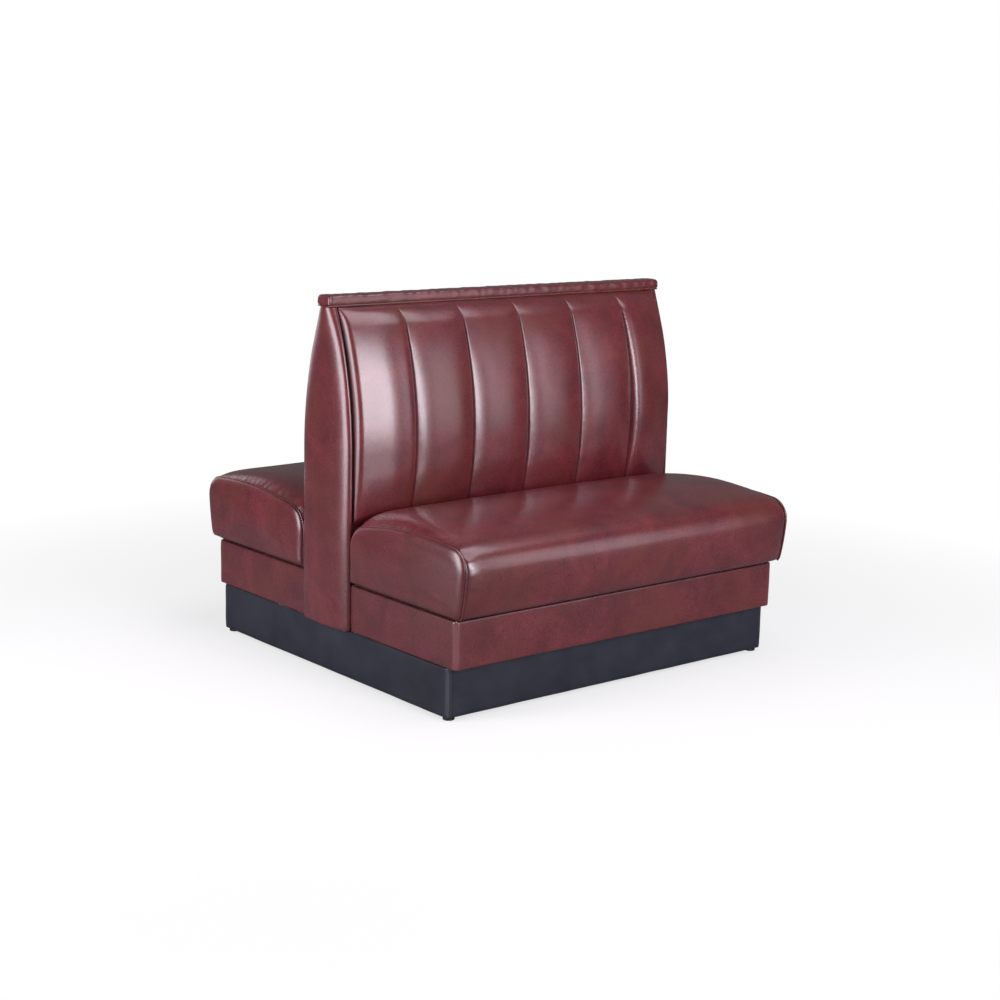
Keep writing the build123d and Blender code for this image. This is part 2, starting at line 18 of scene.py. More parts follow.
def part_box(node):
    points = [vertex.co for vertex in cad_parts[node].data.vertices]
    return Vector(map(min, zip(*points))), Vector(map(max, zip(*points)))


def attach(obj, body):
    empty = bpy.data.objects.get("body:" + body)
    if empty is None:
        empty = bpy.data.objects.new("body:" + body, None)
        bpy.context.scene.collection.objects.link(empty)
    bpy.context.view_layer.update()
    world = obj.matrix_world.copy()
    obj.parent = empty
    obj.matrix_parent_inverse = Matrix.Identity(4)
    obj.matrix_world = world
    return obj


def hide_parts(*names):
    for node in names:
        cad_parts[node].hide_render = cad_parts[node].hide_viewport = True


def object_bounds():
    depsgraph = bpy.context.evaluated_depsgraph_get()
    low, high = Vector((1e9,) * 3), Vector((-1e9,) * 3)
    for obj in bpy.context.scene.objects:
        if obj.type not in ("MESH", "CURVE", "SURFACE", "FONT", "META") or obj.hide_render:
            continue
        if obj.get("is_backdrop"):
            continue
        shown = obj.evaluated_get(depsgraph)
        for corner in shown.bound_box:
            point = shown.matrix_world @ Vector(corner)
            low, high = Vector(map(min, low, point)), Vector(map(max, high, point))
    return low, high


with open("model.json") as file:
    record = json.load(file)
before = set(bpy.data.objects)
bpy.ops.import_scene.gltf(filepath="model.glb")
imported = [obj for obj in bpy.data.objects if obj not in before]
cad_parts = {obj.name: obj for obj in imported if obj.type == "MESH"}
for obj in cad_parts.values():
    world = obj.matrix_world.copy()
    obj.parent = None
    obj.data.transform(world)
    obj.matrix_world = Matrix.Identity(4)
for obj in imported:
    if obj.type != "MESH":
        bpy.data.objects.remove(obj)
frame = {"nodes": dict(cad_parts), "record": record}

cad_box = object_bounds()
scene = bpy.context.scene
millimetre = 0.001
print("nodes:", len(frame["nodes"]))

# %% [markdown]
# ## The camera
# The photograph looks at the near left corner from a little above seat height. A camera is a place,
# three turns and a focal length. Its turns are given here as a compass turn from +Y towards +X, a
# tilt below the horizon, and a small lean of the picture.

# %% Place the camera
eye = Vector((-3.5316, -4.2615, 1.5662))
turn, tilt, lean = (math.radians(angle) for angle in (39.839, 11.578, 1.418))
picture_width, focal_in_pixels, sensor_width = 1000, 1897.0, 36.0

ahead = Vector((math.sin(turn) * math.cos(tilt), math.cos(turn) * math.cos(tilt), -math.sin(tilt)))
level = Vector((math.cos(turn), -math.sin(turn), 0))
upright = level.cross(ahead)
right = level * math.cos(lean) + upright * math.sin(lean)
up = upright * math.cos(lean) - level * math.sin(lean)

camera = bpy.data.objects.new("camera", bpy.data.cameras.new("camera"))
camera.data.sensor_width = sensor_width
camera.data.lens = focal_in_pixels * sensor_width / picture_width
camera.matrix_world = Matrix((right, up, -ahead)).transposed().to_4x4()
camera.matrix_world.translation = eye
scene.collection.objects.link(camera)
scene.camera = camera
scene.view_settings.view_transform = "Standard"
print("lens", round(camera.data.lens, 2), "mm")

# %% [markdown]
# ## Sizes from the frame
# Every piece below is fitted to what carries it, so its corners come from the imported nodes. The
# script works in millimetres, as a workshop drawing does, and turns them into metres in one place.


# %% Read the corners of the main pieces
def corners(node):
    """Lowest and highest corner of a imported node, in millimetres."""
    low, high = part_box(node)
    return np.array(low) / millimetre, np.array(high) / millimetre


apron_low, apron_high = corners("front_apron_cover")
pad_low, pad_high = corners("left_end_pad")
seat_low, seat_high = corners("front_seat_cushion")
back_low, back_high = corners("front_back_cushion")
cap_low, cap_high = corners("cap_pad")
deck_low, deck_high = corners("front_seat_long_rails")
skirt_low, skirt_high = corners("plinth_cover")

half_length = apron_high[0]
box_front = -apron_low[1]
box_top = apron_high[2]
plinth_top = apron_low[2]
seat_bottom = seat_low[2]
back_top = pad_high[2]
waist_half_depth = pad_high[1]
print("half length", round(half_length, 1), "seat from", round(seat_bottom, 1), "back to", round(back_top, 1))

# %% [markdown]
# ## Sections as arcs
# A soft form is easiest to judge in its end view. Each section is a chain of arcs that run into each
# other. With a section point written as one complex number, depth plus i times height, an arc that
# leaves a point in a known direction is a single line of algebra.


# %% Arcs and even spacing
def leaving(start, way, end, count=40):
    """Arc that leaves start in a direction and reaches end: points after start, last direction."""
    bend = 2 * cmath.phase((end - start) / way)
    shares = np.linspace(0, 1, count + 1)[1:]
    if abs(bend) < 1e-6:
        return start + (end - start) * shares, way
    points = start + (end - start) * np.expm1(1j * bend * shares) / (cmath.exp(1j * bend) - 1)
    return points, way * cmath.exp(1j * bend)


def way_through(start, middle, end):
    """First direction of the arc through three points."""
    return (end - start) * cmath.exp(-1j * cmath.phase((end - middle) / (middle - start)))


def evenly(line, count):
    """The same line with a given number of evenly spaced points."""
    walked = np.concatenate([[0], np.cumsum(np.abs(np.diff(line)))])
    places = np.linspace(0, walked[-1], count)
    return np.interp(places, walked, line.real) + 1j * np.interp(places, walked, line.imag)


def drawn_in(ring, distance):
    """A closed ring moved towards its inside by a distance."""
    along = np.roll(ring, -1) - np.roll(ring, 1)
    inward = along / np.abs(along) * 1j
    inward *= np.sign(((ring.mean() - ring) * np.conj(inward)).real.sum())
    return ring + inward * distance


# %% Rings to a closed mesh
def at_place(x, section):
    """Points in space of a section drawn as depth and height."""
    return np.stack([np.full(len(section), x), section.real, section.imag], axis=1)


def link_mesh(name, points, faces):
    """An object from points in millimetres, its faces turned outwards."""
    mesh = bpy.data.meshes.new(name)
    mesh.from_pydata([tuple(point) for point in np.asarray(points) * millimetre], [], faces)
    work = bmesh.new()
    work.from_mesh(mesh)
    bmesh.ops.recalc_face_normals(work, faces=work.faces)
    work.to_mesh(mesh)
    work.free()
    mesh.shade_smooth()
    piece = bpy.data.objects.new(name, mesh)
    scene.collection.objects.link(piece)
    return piece


def skin(name, rings, round_trip=False):
    """Closed skin over rings of points. Its two end rings are filled, or joined on a round trip."""
    rows, columns = len(rings), len(rings[0])
    faces = []
    for row in range(rows if round_trip else rows - 1):
        nearer, further = row * columns, (row + 1) % rows * columns
        for column in range(columns):
            beside = (column + 1) % columns
            faces.append((nearer + column, nearer + beside, further + beside, further + column))
    if not round_trip:
        faces += [tuple(range(columns)), tuple(range((rows - 1) * columns, rows * columns))]
    return link_mesh(name, np.concatenate(rings), faces)


# %% [markdown]
# ## Graphs as expressions
# A finish, the studio's walls and a Geometry Nodes tree are all small graphs. Written one node at a
# time a graph hides its own meaning, so one class wraps an output socket and lets `+` and `*` add
# the Math nodes, and one method adds any other node with its settings and inputs.


# %% Nodes as expressions
class Wire:
    """An output socket of a graph, which sums and products turn into Math nodes."""

    def __init__(self, graph, socket):
        self.graph = graph
        self.socket = socket

    def maths(self, operation, first, second):
        return self.graph.node("Math", {"operation": operation}, {0: first, 1: second})

    def __add__(self, other):
        return self.maths("ADD", self, other)

    def __radd__(self, other):
        return self.maths("ADD", other, self)

    def __mul__(self, other):
        return self.maths("MULTIPLY", self, other)

    def __rmul__(self, other):
        return self.maths("MULTIPLY", other, self)

    def beside(self, output):
        """Another output of the same node."""
        return Wire(self.graph, self.socket.node.outputs[output])


def four(colour):
    """A colour with its alpha, or a wire as it is."""
    return colour if isinstance(colour, Wire) else (*colour, 1.0)


class Graph:
    """A node tree whose nodes are added, set up and joined in one step each."""

    def __init__(self, tree):
        self.tree = tree

    def node(self, kind, settings, inputs, output=0):
        """Adds any node, a shader node by its short name, and gives one of its outputs."""
        added = self.tree.nodes.new(kind if "Node" in kind else "ShaderNode" + kind)
        for key, value in settings.items():
            if key == "stops":
                self.set_stops(added.color_ramp, value)
            else:
                setattr(added, key, value)
        for key, value in inputs.items():
            self.join(value, added.inputs[key])
        return Wire(self, added.outputs[output]) if added.outputs else None

    def join(self, value, socket):
        if isinstance(value, Wire):
            self.tree.links.new(value.socket, socket)
        else:
            socket.default_value = value

    def set_stops(self, ramp, stops):
        while len(ramp.elements) < len(stops):
            ramp.elements.new(1.0)
        for element, (position, colour) in zip(ramp.elements, stops):
            element.position = position
            element.color = four(colour)

    def ramp(self, wire, stops):
        """Colours along a value."""
        return self.node("ValToRGB", {"stops": stops}, {"Fac": wire})

    def blend(self, share, first, second):
        """Two colours mixed by a share."""
        return self.node("Mix", {"data_type": "RGBA"}, {0: share, 6: four(first), 7: four(second)}, 2)

    def range(self, wire, low, high, new_low, new_high):
        """A value moved from one range to another and held inside it."""
        inputs = {"Value": wire, "From Min": low, "From Max": high, "To Min": new_low, "To Max": new_high}
        return self.node("MapRange", {}, inputs)

    def seen(self, glossy_share):
        """1 for rays of the camera, a share for glossy reflections, and 0 for the light itself."""
        camera_rays, clear_rays, glossy_rays = (self.node("LightPath", {}, {}, f"Is {kind} Ray")
                                                for kind in ("Camera", "Transmission", "Glossy"))
        return self.range(camera_rays + clear_rays + glossy_share * glossy_rays, 0.0, 1.0, 0.0, 1.0)


class Finish(Graph):
    """A material on the Principled shader."""

    def __init__(self, name, roughness=0.5, specular=0.5, **constants):
        self.material = bpy.data.materials.new(name)
        self.material.use_nodes = True
        super().__init__(self.material.node_tree)
        self.shader = self.tree.nodes["Principled BSDF"]
        self.shader.inputs["Roughness"].default_value = roughness
        self.shader.inputs["Specular IOR Level"].default_value = specular
        for socket, value in constants.items():
            self.shader.inputs[socket.replace("_", " ").title()].default_value = value
        self.place = self.node("TexCoord", {}, {}, "Object")

    def stretched(self, scale):
        """Object place with each axis stretched by its own factor."""
        return self.node("Mapping", {}, {"Vector": self.place, "Scale": scale})

    def kept(self, name):
        """An amount that the piece keeps for each of its points."""
        return self.node("Attribute", {"attribute_name": name}, {}, "Fac")

    def noise(self, scale, detail=4.0, roughness=0.5, distortion=0.0, place=None):
        """Soft noise from 0 to 1."""
        sizes = {"Scale": scale, "Detail": detail, "Roughness": roughness, "Distortion": distortion}
        return self.node("TexNoise", {}, {"Vector": place or self.place, **sizes})

    def cells(self, scale):
        """Distance inside leather-like cells."""
        return self.node("TexVoronoi", {}, {"Vector": self.place, "Scale": scale}, "Distance")

    def bump(self, height, depth, strength):
        """Relief from a height that is one unit deep at a depth in metres."""
        return self.node("Bump", {}, {"Height": height, "Distance": depth, "Strength": strength})

    def wear(self, colour, roughness=None, normal=None):
        """Joins what varies over the surface to the shader."""
        for socket, wire in (("Base Color", colour), ("Roughness", roughness), ("Normal", normal)):
            if wire is not None:
                self.join(wire, self.shader.inputs[socket])
        return self.material


# %% [markdown]
# ## Vinyl
# Upholstery vinyl of this kind is printed: a dark wine ground with lighter and browner clouds in it,
# then a fine leather grain and a clear gloss. Three noises at different sizes make the clouds. The
# grain is too fine to model, so it is relief in the shader, and broad soft creases lie over it. The
# plinth wears black vinyl with a softer sheen. Both are painted darker in seams, folds and rims, a
# painted shade, and painted paler over upright corners, a painted highlight.

# %% Mix the wine red vinyl
wine_dark = (0.080, 0.0088, 0.0130)
wine = (0.120, 0.0145, 0.0200)
wine_light = (0.170, 0.0260, 0.0325)
wine_brown = (0.122, 0.0235, 0.0160)
# The next two colours are painted light: a painted shade for seams, folds and rims, and a painted highlight
# for upright corners.
wine_painted_shade = (0.022, 0.003, 0.004)
wine_painted_highlight = (0.33, 0.15, 0.16)


def marbled_vinyl():
    """Glossy printed vinyl with leather grain."""
    finish = Finish("burgundy_vinyl", specular=0.45, coat_weight=1.0, coat_roughness=0.26)
    clouds = finish.noise(9.0, detail=8.0, roughness=0.65, distortion=0.6)
    speckle = finish.noise(210.0, roughness=0.7)
    print_stops = [(0.39, wine_dark), (0.50, wine), (0.62, wine_light)]
    ground = finish.ramp(clouds * 0.56 + speckle * 0.44, print_stops)
    brown = finish.range(finish.noise(5.0, detail=6.0, roughness=0.65), 0.47, 0.68, 0.0, 0.8)
    # Painted shade: the kept amount darkens the vinyl towards a near black wine in seams, folds and rims, and
    # roughens it there.
    groove = finish.kept("groove")
    printed = finish.blend(brown, ground, wine_brown)
    # Painted highlight: the print is paler over the upright corners of the wrapped boxes.
    highlighted = finish.blend(finish.kept("stretch") * 0.5, printed, wine_painted_highlight)
    colour = finish.blend(groove * 0.85, highlighted, wine_painted_shade)
    pebble = finish.noise(330.0, roughness=0.65)
    creases = finish.noise(30.0, detail=3.0, distortion=1.4)
    relief = finish.cells(850.0) * 0.4 + pebble * 0.6 + creases * 1.3
    roughness = finish.range(pebble + speckle, 0.7, 1.3, 0.24, 0.38) + groove * 0.3
    return finish.wear(colour, roughness, finish.bump(relief, 0.0005, 0.6))


vinyl = marbled_vinyl()
print("mixed", vinyl.name)

# %% Mix the black vinyl
black_dark, black_light = (0.018, 0.020, 0.030), (0.030, 0.033, 0.046)
# Painted light on the black vinyl: a near black painted shade for grooves and a pale grey painted highlight
# for upright corners.
black_painted_shade, black_painted_highlight = (0.004, 0.004, 0.006), (0.13, 0.13, 0.16)


def black_vinyl():
    """Satin vinyl with leather grain."""
    finish = Finish("black_vinyl", specular=0.45)
    clouds = finish.noise(9.0, detail=5.0, roughness=0.6)
    ground = finish.ramp(clouds, [(0.3, black_dark), (0.7, black_light)])
    # A painted highlight over upright corners, then painted shade in the laps, the hem and the rims.
    highlighted = finish.blend(finish.kept("stretch") * 0.45, ground, black_painted_highlight)
    colour = finish.blend(finish.kept("groove") * 0.8, highlighted, black_painted_shade)
    relief = finish.cells(900.0) * 0.5 + finish.noise(26.0, detail=3.0) * 0.8
    roughness = finish.range(clouds, 0.3, 0.7, 0.28, 0.38)
    return finish.wear(colour, roughness, finish.bump(relief, 0.0004, 0.5))


black = black_vinyl()
print("mixed", black.name)

# %% [markdown]
# ## The other finishes
# Boards are plywood or beech: their faces show long grain, and the edges of plywood the plies, which
# are only bands through the thickness. Webbing is woven from thick yarns, the dust cloth is pressed
# fibre, the fasteners are zinc plated, and the glides are moulded nylon.


# %% Mix the cloths
def webbing():
    finish = Finish("webbing", roughness=0.85, specular=0.2)
    yarns = {"Vector": finish.place, "Scale": 190.0}
    along, across = (finish.node("TexWave", {"bands_direction": axis}, yarns, "Fac") for axis in "XY")
    yarn = along * across
    colour = finish.ramp(yarn, [(0.0, (0.018, 0.018, 0.020)), (1.0, (0.085, 0.085, 0.092))])
    return finish.wear(colour, None, finish.bump(yarn, 0.0008, 0.8))


def dust_cloth():
    finish = Finish("dust_cloth", roughness=0.95, specular=0.1)
    fibre = finish.noise(420.0, detail=6.0, roughness=0.8, distortion=2.0)
    colour = finish.ramp(fibre, [(0.3, (0.010, 0.010, 0.011)), (0.8, (0.045, 0.045, 0.048))])
    return finish.wear(colour, None, finish.bump(fibre + finish.cells(520.0), 0.0003, 0.7))


# %% Mix the metal and the nylon
def mottled(name, scale, detail, colours, roughnesses, strength, **constants):
    """A plain finish with a fine mottle in its colour, its gloss and its surface."""
    finish = Finish(name, **constants)
    mottle = finish.noise(scale, detail=detail)
    colour = finish.ramp(mottle, list(zip((0.3, 0.7), colours)))
    sheen = finish.range(mottle, 0.3, 0.7, *roughnesses)
    return finish.wear(colour, sheen, finish.bump(mottle, 0.0001, strength))


zinc_colours = (0.52, 0.53, 0.55), (0.68, 0.68, 0.70)
nylon_colours = (0.012, 0.012, 0.013), (0.022, 0.022, 0.024)
metal = mottled("zinc_steel", 160.0, 4.0, zinc_colours, (0.24, 0.42), 0.3, metallic=1.0)
nylon = mottled("black_nylon", 300.0, 3.0, nylon_colours, (0.42, 0.55), 0.4, specular=0.4)
net, felt = webbing(), dust_cloth()
print("mixed the cloths, the metal and the nylon")

# %% Mix the woods
birch_pale, birch_dark = (0.60, 0.43, 0.26), (0.40, 0.26, 0.14)
beech_pale, beech_dark = (0.50, 0.33, 0.20), (0.33, 0.19, 0.105)
ply = 2.2


def board(name, axis, length_axis, pale, dark, plies):
    """Wood whose grain runs along one axis. Plies, if any, lie across its thickness axis."""
    finish = Finish(name, roughness=0.62, specular=0.25)
    scale = [55.0, 55.0, 55.0]
    scale[length_axis] = 3.0
    grain = finish.noise(1.0, detail=8.0, roughness=0.65, distortion=0.8, place=finish.stretched(scale))
    tone = grain * 0.7 + finish.noise(5.0, detail=3.0) * 0.3
    if plies:
        place = finish.node("SeparateXYZ", {}, {"Vector": finish.place}, "XYZ"[axis])
        layer = finish.node("Math", {"operation": "PINGPONG"}, {0: place * (1 / ply / millimetre), 1: 1.0})
        tone = tone * 0.75 + finish.range(layer, 0.35, 0.65, 0.0, 0.25)
    colour = finish.ramp(tone, [(0.32, dark), (0.68, pale)])
    pores = finish.noise(1.0, place=finish.stretched([value * 14 for value in scale]))
    return finish.wear(colour, finish.range(grain, 0.3, 0.7, 0.55, 0.75), finish.bump(pores, 0.0002, 0.6))


# %% Put a finish on a piece
def slot_of(finish):
    """The slot that a finish is named after, without the number that Blender adds to a name in use."""
    return finish.name.partition(".")[0]


def dress(piece, body, finish, *nodes):
    """Gives a piece its finish and body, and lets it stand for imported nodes."""
    piece.data.materials.clear()
    piece.data.materials.append(finish)
    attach(piece, body)
    if nodes:
        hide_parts(*nodes)
    print(piece.name, "has", len(piece.data.polygons), "faces")
    return piece


def mirrored(piece, name, axis):
    """A copy on the other side of the booth, with its faces turned back outwards."""
    copy = bpy.data.objects.new(name, piece.data.copy())
    copy.data.transform(Matrix.Scale(-1, 4, axis))
    copy.data.flip_normals()
    scene.collection.objects.link(copy)
    return copy


def dress_twins(first, body, finish, node=None, sides=("front", "rear"), axis=(0, 1, 0)):
    """Dresses a piece and its mirror image, and gives both. {} stands for the side in a name."""
    twins = first, mirrored(first, first.name.replace(*sides), axis)
    for side, piece in zip(sides, twins):
        dress(piece, body.format(side), finish, *([node.format(side)] if node else []))
    return zip(sides, twins)


# %% Read and move the points of a piece
def plain_copy(piece, name):
    """The evaluated shape of a piece as a plain mesh on a new object, in place of the first one."""
    graph = bpy.context.evaluated_depsgraph_get()
    mesh = bpy.data.meshes.new_from_object(piece.evaluated_get(graph))
    mesh.name = name
    bpy.data.objects.remove(piece)
    copy = bpy.data.objects.new(name, mesh)
    scene.collection.objects.link(copy)
    return copy


def smooth_once(piece):
    """One level of subdivision, kept as a plain mesh."""
    subdivision = piece.modifiers.new("smooth", "SUBSURF")
    subdivision.levels = subdivision.render_levels = 1
    return plain_copy(piece, piece.name)


def points_of(piece, what="co"):
    """All points of a piece, in millimetres, or another vector of each point."""
    vectors = np.zeros(len(piece.data.vertices) * 3)
    piece.data.vertices.foreach_get(what, vectors)
    return vectors.reshape(-1, 3) / (millimetre if what == "co" else 1)


def move_points(piece, points):
    piece.data.vertices.foreach_set("co", (points * millimetre).ravel())
    piece.data.update()


def mark(piece, name, *amounts):
    """Keeps the largest of some amounts from 0 to 1 for each point, which the finish reads."""
    marks = piece.data.attributes.new(name, "FLOAT", "POINT")
    marks.data.foreach_set("value", np.clip(np.max(amounts, axis=0), 0, 1).astype(np.float32))


def ripple(piece, amounts, sizes, seed=0.0):
    """Moves the points of a piece in and out by soft noise: an amount for each point, and wave sizes."""
    points = points_of(piece)
    normals = points_of(piece, "normal")
    shift = Vector((seed, 0, seed))
    waves = np.array([noise.noise(Vector(point / sizes) + shift) for point in points])
    move_points(piece, points + normals * (waves * amounts)[:, None])


def fading(distance, reach):
    """1 up to a distance of 0, then less and less over a reach."""
    return np.exp(-np.maximum(distance, 0) / reach)


def bell(distance, width):
    """1 at a distance of 0, and a smooth fall to both sides."""
    return np.exp(-((distance / width) ** 2))


# %% [markdown]
# ## The seat cushions
# Each seat is a long crowned cushion. Its section is full at mid length and flatter at the sewn
# ends, the front rolls over and tucks back under, and a boxed panel closes each end behind a welt.
# One skin runs over everything, ring by ring along the seat, so the seams are rings of that skin.

# %% The seat's section
seat_rear_foot = 119.0
welt_radius = 3.0
end_crown = 21.0
panel_step = 15.0
seat_side = seat_high[0] - panel_step - 2 * welt_radius
outline_points = 104
end_section = dict(rear=(118.0, 97), roll=(171.0, 165), crown=(409.0, 190), brow=(-8.0, 182.5),
                   front=(43.0, 122), chin=(27.0, 14), under=(18.5, 0))
middle_section = dict(rear=(116.0, 126), roll=(171.0, 206), crown=(340.0, 224), brow=(-2.0, 198),
                      front=(58.0, 125), chin=(42.0, 15), under=(28.0, 0))
from_box_front = ("brow", "front", "chin", "under")


def seat_outline(fullness):
    """Outline of the seat from its rear foot over the top to its front edge."""
    place = {}
    for name, (depth, rise) in end_section.items():
        middle_depth, middle_rise = middle_section[name]
        depth += fullness * (middle_depth - depth) + (box_front if name in from_box_front else 0)
        rise += fullness * (middle_rise - rise)
        place[name] = complex(-depth, seat_bottom + rise)
    top_way = way_through(place["roll"], place["crown"], place["brow"])
    rear_corner, way = leaving(place["roll"], -top_way, place["rear"])
    rear_face, _ = leaving(place["rear"], way, complex(-seat_rear_foot, seat_bottom))
    top, way = leaving(place["roll"], top_way, place["brow"], 90)
    front_corner, way = leaving(place["brow"], way, place["front"])
    front_face, way = leaving(place["front"], way, place["chin"])
    turn_under, _ = leaving(place["chin"], way, place["under"], 12)
    chain = [rear_face[::-1], rear_corner[::-1], [place["roll"]], top, front_corner, front_face, turn_under]
    return evenly(np.concatenate(chain), outline_points)


def seat_ring(fullness, hollow):
    """Closed section of the seat, hollow below where it sits over its deck."""
    front, rear = -deck_low[1] - 0.5, -deck_high[1] + 0.5
    roof = seat_bottom + (deck_high[2] - seat_bottom + 4.0) * hollow
    under = [complex(-front, seat_bottom), complex(-front, roof),
             complex(-rear, roof), complex(-rear, seat_bottom)]
    return np.concatenate([seat_outline(fullness), under])


# %% The seat's rings
seat_rings_wanted = 131
neck_inset = 4.2
end_round = 30.0
crown_rest = 9.0
round_steps = 9
inner_sizes = (0.88, 0.74, 0.58, 0.40, 0.22, 0.08)


def shrunk(ring, centre, distance):
    """A ring drawn in towards a centre by about the same distance on each side, without folds."""
    width, height = np.ptp(ring.real) / 2, np.ptp(ring.imag) / 2
    away = ring - centre
    return centre + away.real * (1 - distance / width) + 1j * away.imag * (1 - distance / height)


def seat_rings():
    """Rings of the seat from its left end panel to its right one."""
    panel_start = seat_side + 2 * welt_radius
    sewn = seat_ring(0.0, 0)
    neck = drawn_in(sewn, neck_inset)
    centre = complex(-(seat_rear_foot + box_front) / 2, seat_bottom + 93)
    sides = [(seat_side + 0.2, neck), (panel_start - 0.2, neck)]
    for turn in np.linspace(0, math.pi / 2, round_steps):
        rounded = shrunk(sewn, centre, end_round * (1 - math.cos(turn)))
        sides.append((panel_start + (end_crown - crown_rest) * math.sin(turn), rounded))
    rim = sides[-1][1]
    for size in inner_sizes:
        sides.append((panel_start + end_crown - crown_rest * size**2, centre + size * (rim - centre)))
    rings = [at_place(-x, ring) for x, ring in sides[::-1]]
    for share in np.linspace(-1, 1, seat_rings_wanted):
        place = 1.25 * share - 0.25 * share**3
        fullness = 1 - 0.15 * place**2 - 0.85 * abs(place) ** 20
        x = seat_side * place
        rings.append(at_place(x, seat_ring(fullness, abs(x) < deck_high[0] - 2)))
    return rings + [at_place(x, ring) for x, ring in sides]


# %% Stuff the seats
def pleated(points, inside):
    """Points with the small pleats that the front corners of a seat gather beside their welts."""
    x, y, z = points.T
    pull = fading(inside, 17) * (inside > 0.5)
    pull = pull * np.exp(-((y + box_front + 16) ** 2 + (z - seat_bottom - 172) ** 2) / 34**2)
    folds = np.maximum(np.sin((z * 0.8 - y * 0.6) / 3.3 + 0.35 * np.sin(x / 9)), -0.3)
    return points + np.stack([0 * x, pull * (2.6 * folds + 1.2), -pull * 1.6 * folds], axis=1)


def stuffed_seat():
    """One front seat cushion, puckered beside its welts."""
    piece = smooth_once(skin("front_seat_vinyl", seat_rings()))
    x, y, z = points_of(piece).T
    upper = np.clip((z - seat_bottom) / 60, 0, 1)
    inside = seat_side - np.abs(x)
    ripple(piece, 1.5 * fading(inside, 26) * (inside > 1) * upper, (60.0, 17.0, 17.0), seed=3.1)
    ripple(piece, 1.3 * upper, (170.0, 120.0, 120.0), seed=8.4)
    points = points_of(piece)
    inside = seat_side - np.abs(points[:, 0])
    points = pleated(points, inside)
    move_points(piece, points)
    # Painted shade: the seat is darkened beside its welts on both sides and along its bottom edge.
    beside_welt = fading(inside - 0.5, 1.6) * (inside > -7.5)
    return_edge = fading(-7.0 - inside, 1.2) * (inside < -4)
    mark(piece, "groove", beside_welt, return_edge, fading(points[:, 2] - seat_bottom, 2.5))
    return piece


for side, piece in dress_twins(stuffed_seat(), "{}_seat", vinyl, "{}_seat_cushion"):
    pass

# %% [markdown]
# ## The channelled inside backs
# Foam is sewn into six upright channels. A seam is a valley that stays where the thread pulls it,
# and the vinyl swells between two seams, most near the seam and then flatter. Rings stand upright
# across the back, close together beside each seam so that the valley stays sharp.

# %% The back's section
channel_count = 6
side_loss = 21.0
back_side = back_high[0]
channel_pitch = 2 * (back_side + side_loss) / channel_count
last_seam = (channel_count / 2 - 1) * channel_pitch
top_half_depth = 26.5
waist_height = 630.0
panel_inset = 7.0
front_points = 88
swell_depths = np.array((7.0, 16.5, 9.0))
section_heights = (back_top - 51, back_top - 371, 0.0)
back_taper = waist_half_depth - 27.5
shoulder_radius = ((back_top - waist_height) ** 2 + back_taper**2) / (2 * back_taper)


def half_depth(height, inset=0.0):
    """Depth of the back's outline at a height, drawn in by an inset."""
    rise = np.maximum(height - waist_height, 0.0)
    return waist_half_depth - shoulder_radius + np.sqrt((shoulder_radius - inset) ** 2 - rise**2)


def tuck_height(depth):
    """Height of the sloping underside of the back, which the seat clears as it lifts off."""
    return depth + seat_reach + 2.0 * math.sqrt(2)


full_outline = seat_outline(1.0)
seat_reach = float((full_outline.imag + full_outline.real).max())
heel_depth = waist_half_depth - 3.0
seam_depths = np.array((half_depth(section_heights[0]) + 47, waist_half_depth + 42.5, waist_half_depth + 20.5))


def back_section(depths):
    """Closed section of the inside back: front from its top to its foot, then the hidden rear."""
    shoulder, bulge, foot = depths
    bulge_point = complex(-bulge, section_heights[1])
    shoulder_point = complex(-shoulder, section_heights[0])
    upper, way = leaving(bulge_point, 1j, shoulder_point, 60)
    roll, _ = leaving(shoulder_point, way, complex(-top_half_depth, back_top), 30)
    lower, _ = leaving(bulge_point, -1j, complex(-foot, tuck_height(foot)), 60)
    front = evenly(np.concatenate([roll[::-1], upper[::-1], [bulge_point], lower]), front_points)
    heel_top = seat_bottom + 107
    rear_line = half_depth(waist_height, panel_inset)
    rear = [complex(-heel_depth, tuck_height(heel_depth)), complex(-heel_depth, heel_top),
            complex(-rear_line, heel_top), complex(-rear_line, waist_height)]
    heights = np.linspace(waist_height, back_top, 9)[1:]
    rear += [complex(-half_depth(height, panel_inset), height) for height in heights]
    return np.concatenate([front, rear])


# %% The back's rings
roll_share, slope_share, crest_share = 0.075, 0.48, 0.80
slope_area = (slope_share + crest_share) / 2 - roll_share
side_depths = np.array([half_depth(height, 0.5) for height in (*section_heights[:2], waist_height)])


def channel_depths(share):
    """Depths of the section inside a channel, at a share of the way between its seams."""
    return seam_depths + (1 - np.abs(2 * share - 1) ** 3.0) * swell_depths


def last_channel_depths(share):
    """Depths in an outer channel: a round edge, a slope that eases off to a crest, then the seam."""
    if share > crest_share:
        return channel_depths(0.5 + 0.5 * (share - crest_share) / (1 - crest_share))
    roll = math.sqrt(1 - (1 - min(share / roll_share, 1.0)) ** 2)
    past = max(0.0, share - slope_share)
    climbed = max(0.0, min(share, slope_share) - roll_share)
    climbed = climbed + past - past**2 / (2 * (crest_share - slope_share))
    fullness = 0.50 * roll + 0.50 * climbed / slope_area
    return side_depths + fullness * (seam_depths + swell_depths - side_depths)


def back_stations():
    """Places along the back and the depths of the section there."""
    steps = 0.5 - 0.5 * np.cos(np.pi * np.linspace(0, 1, 25))
    stations = []
    for index in range(channel_count - 2):
        start = index * channel_pitch - last_seam
        stations += [(start + step * channel_pitch, channel_depths(step)) for step in steps[:-1]]
    stations.append((last_seam, seam_depths))
    width = back_side - last_seam
    right = [(back_side - step * width, last_channel_depths(step)) for step in steps[::-1][1:]]
    return [(-place, depths) for place, depths in right[::-1]] + stations + right


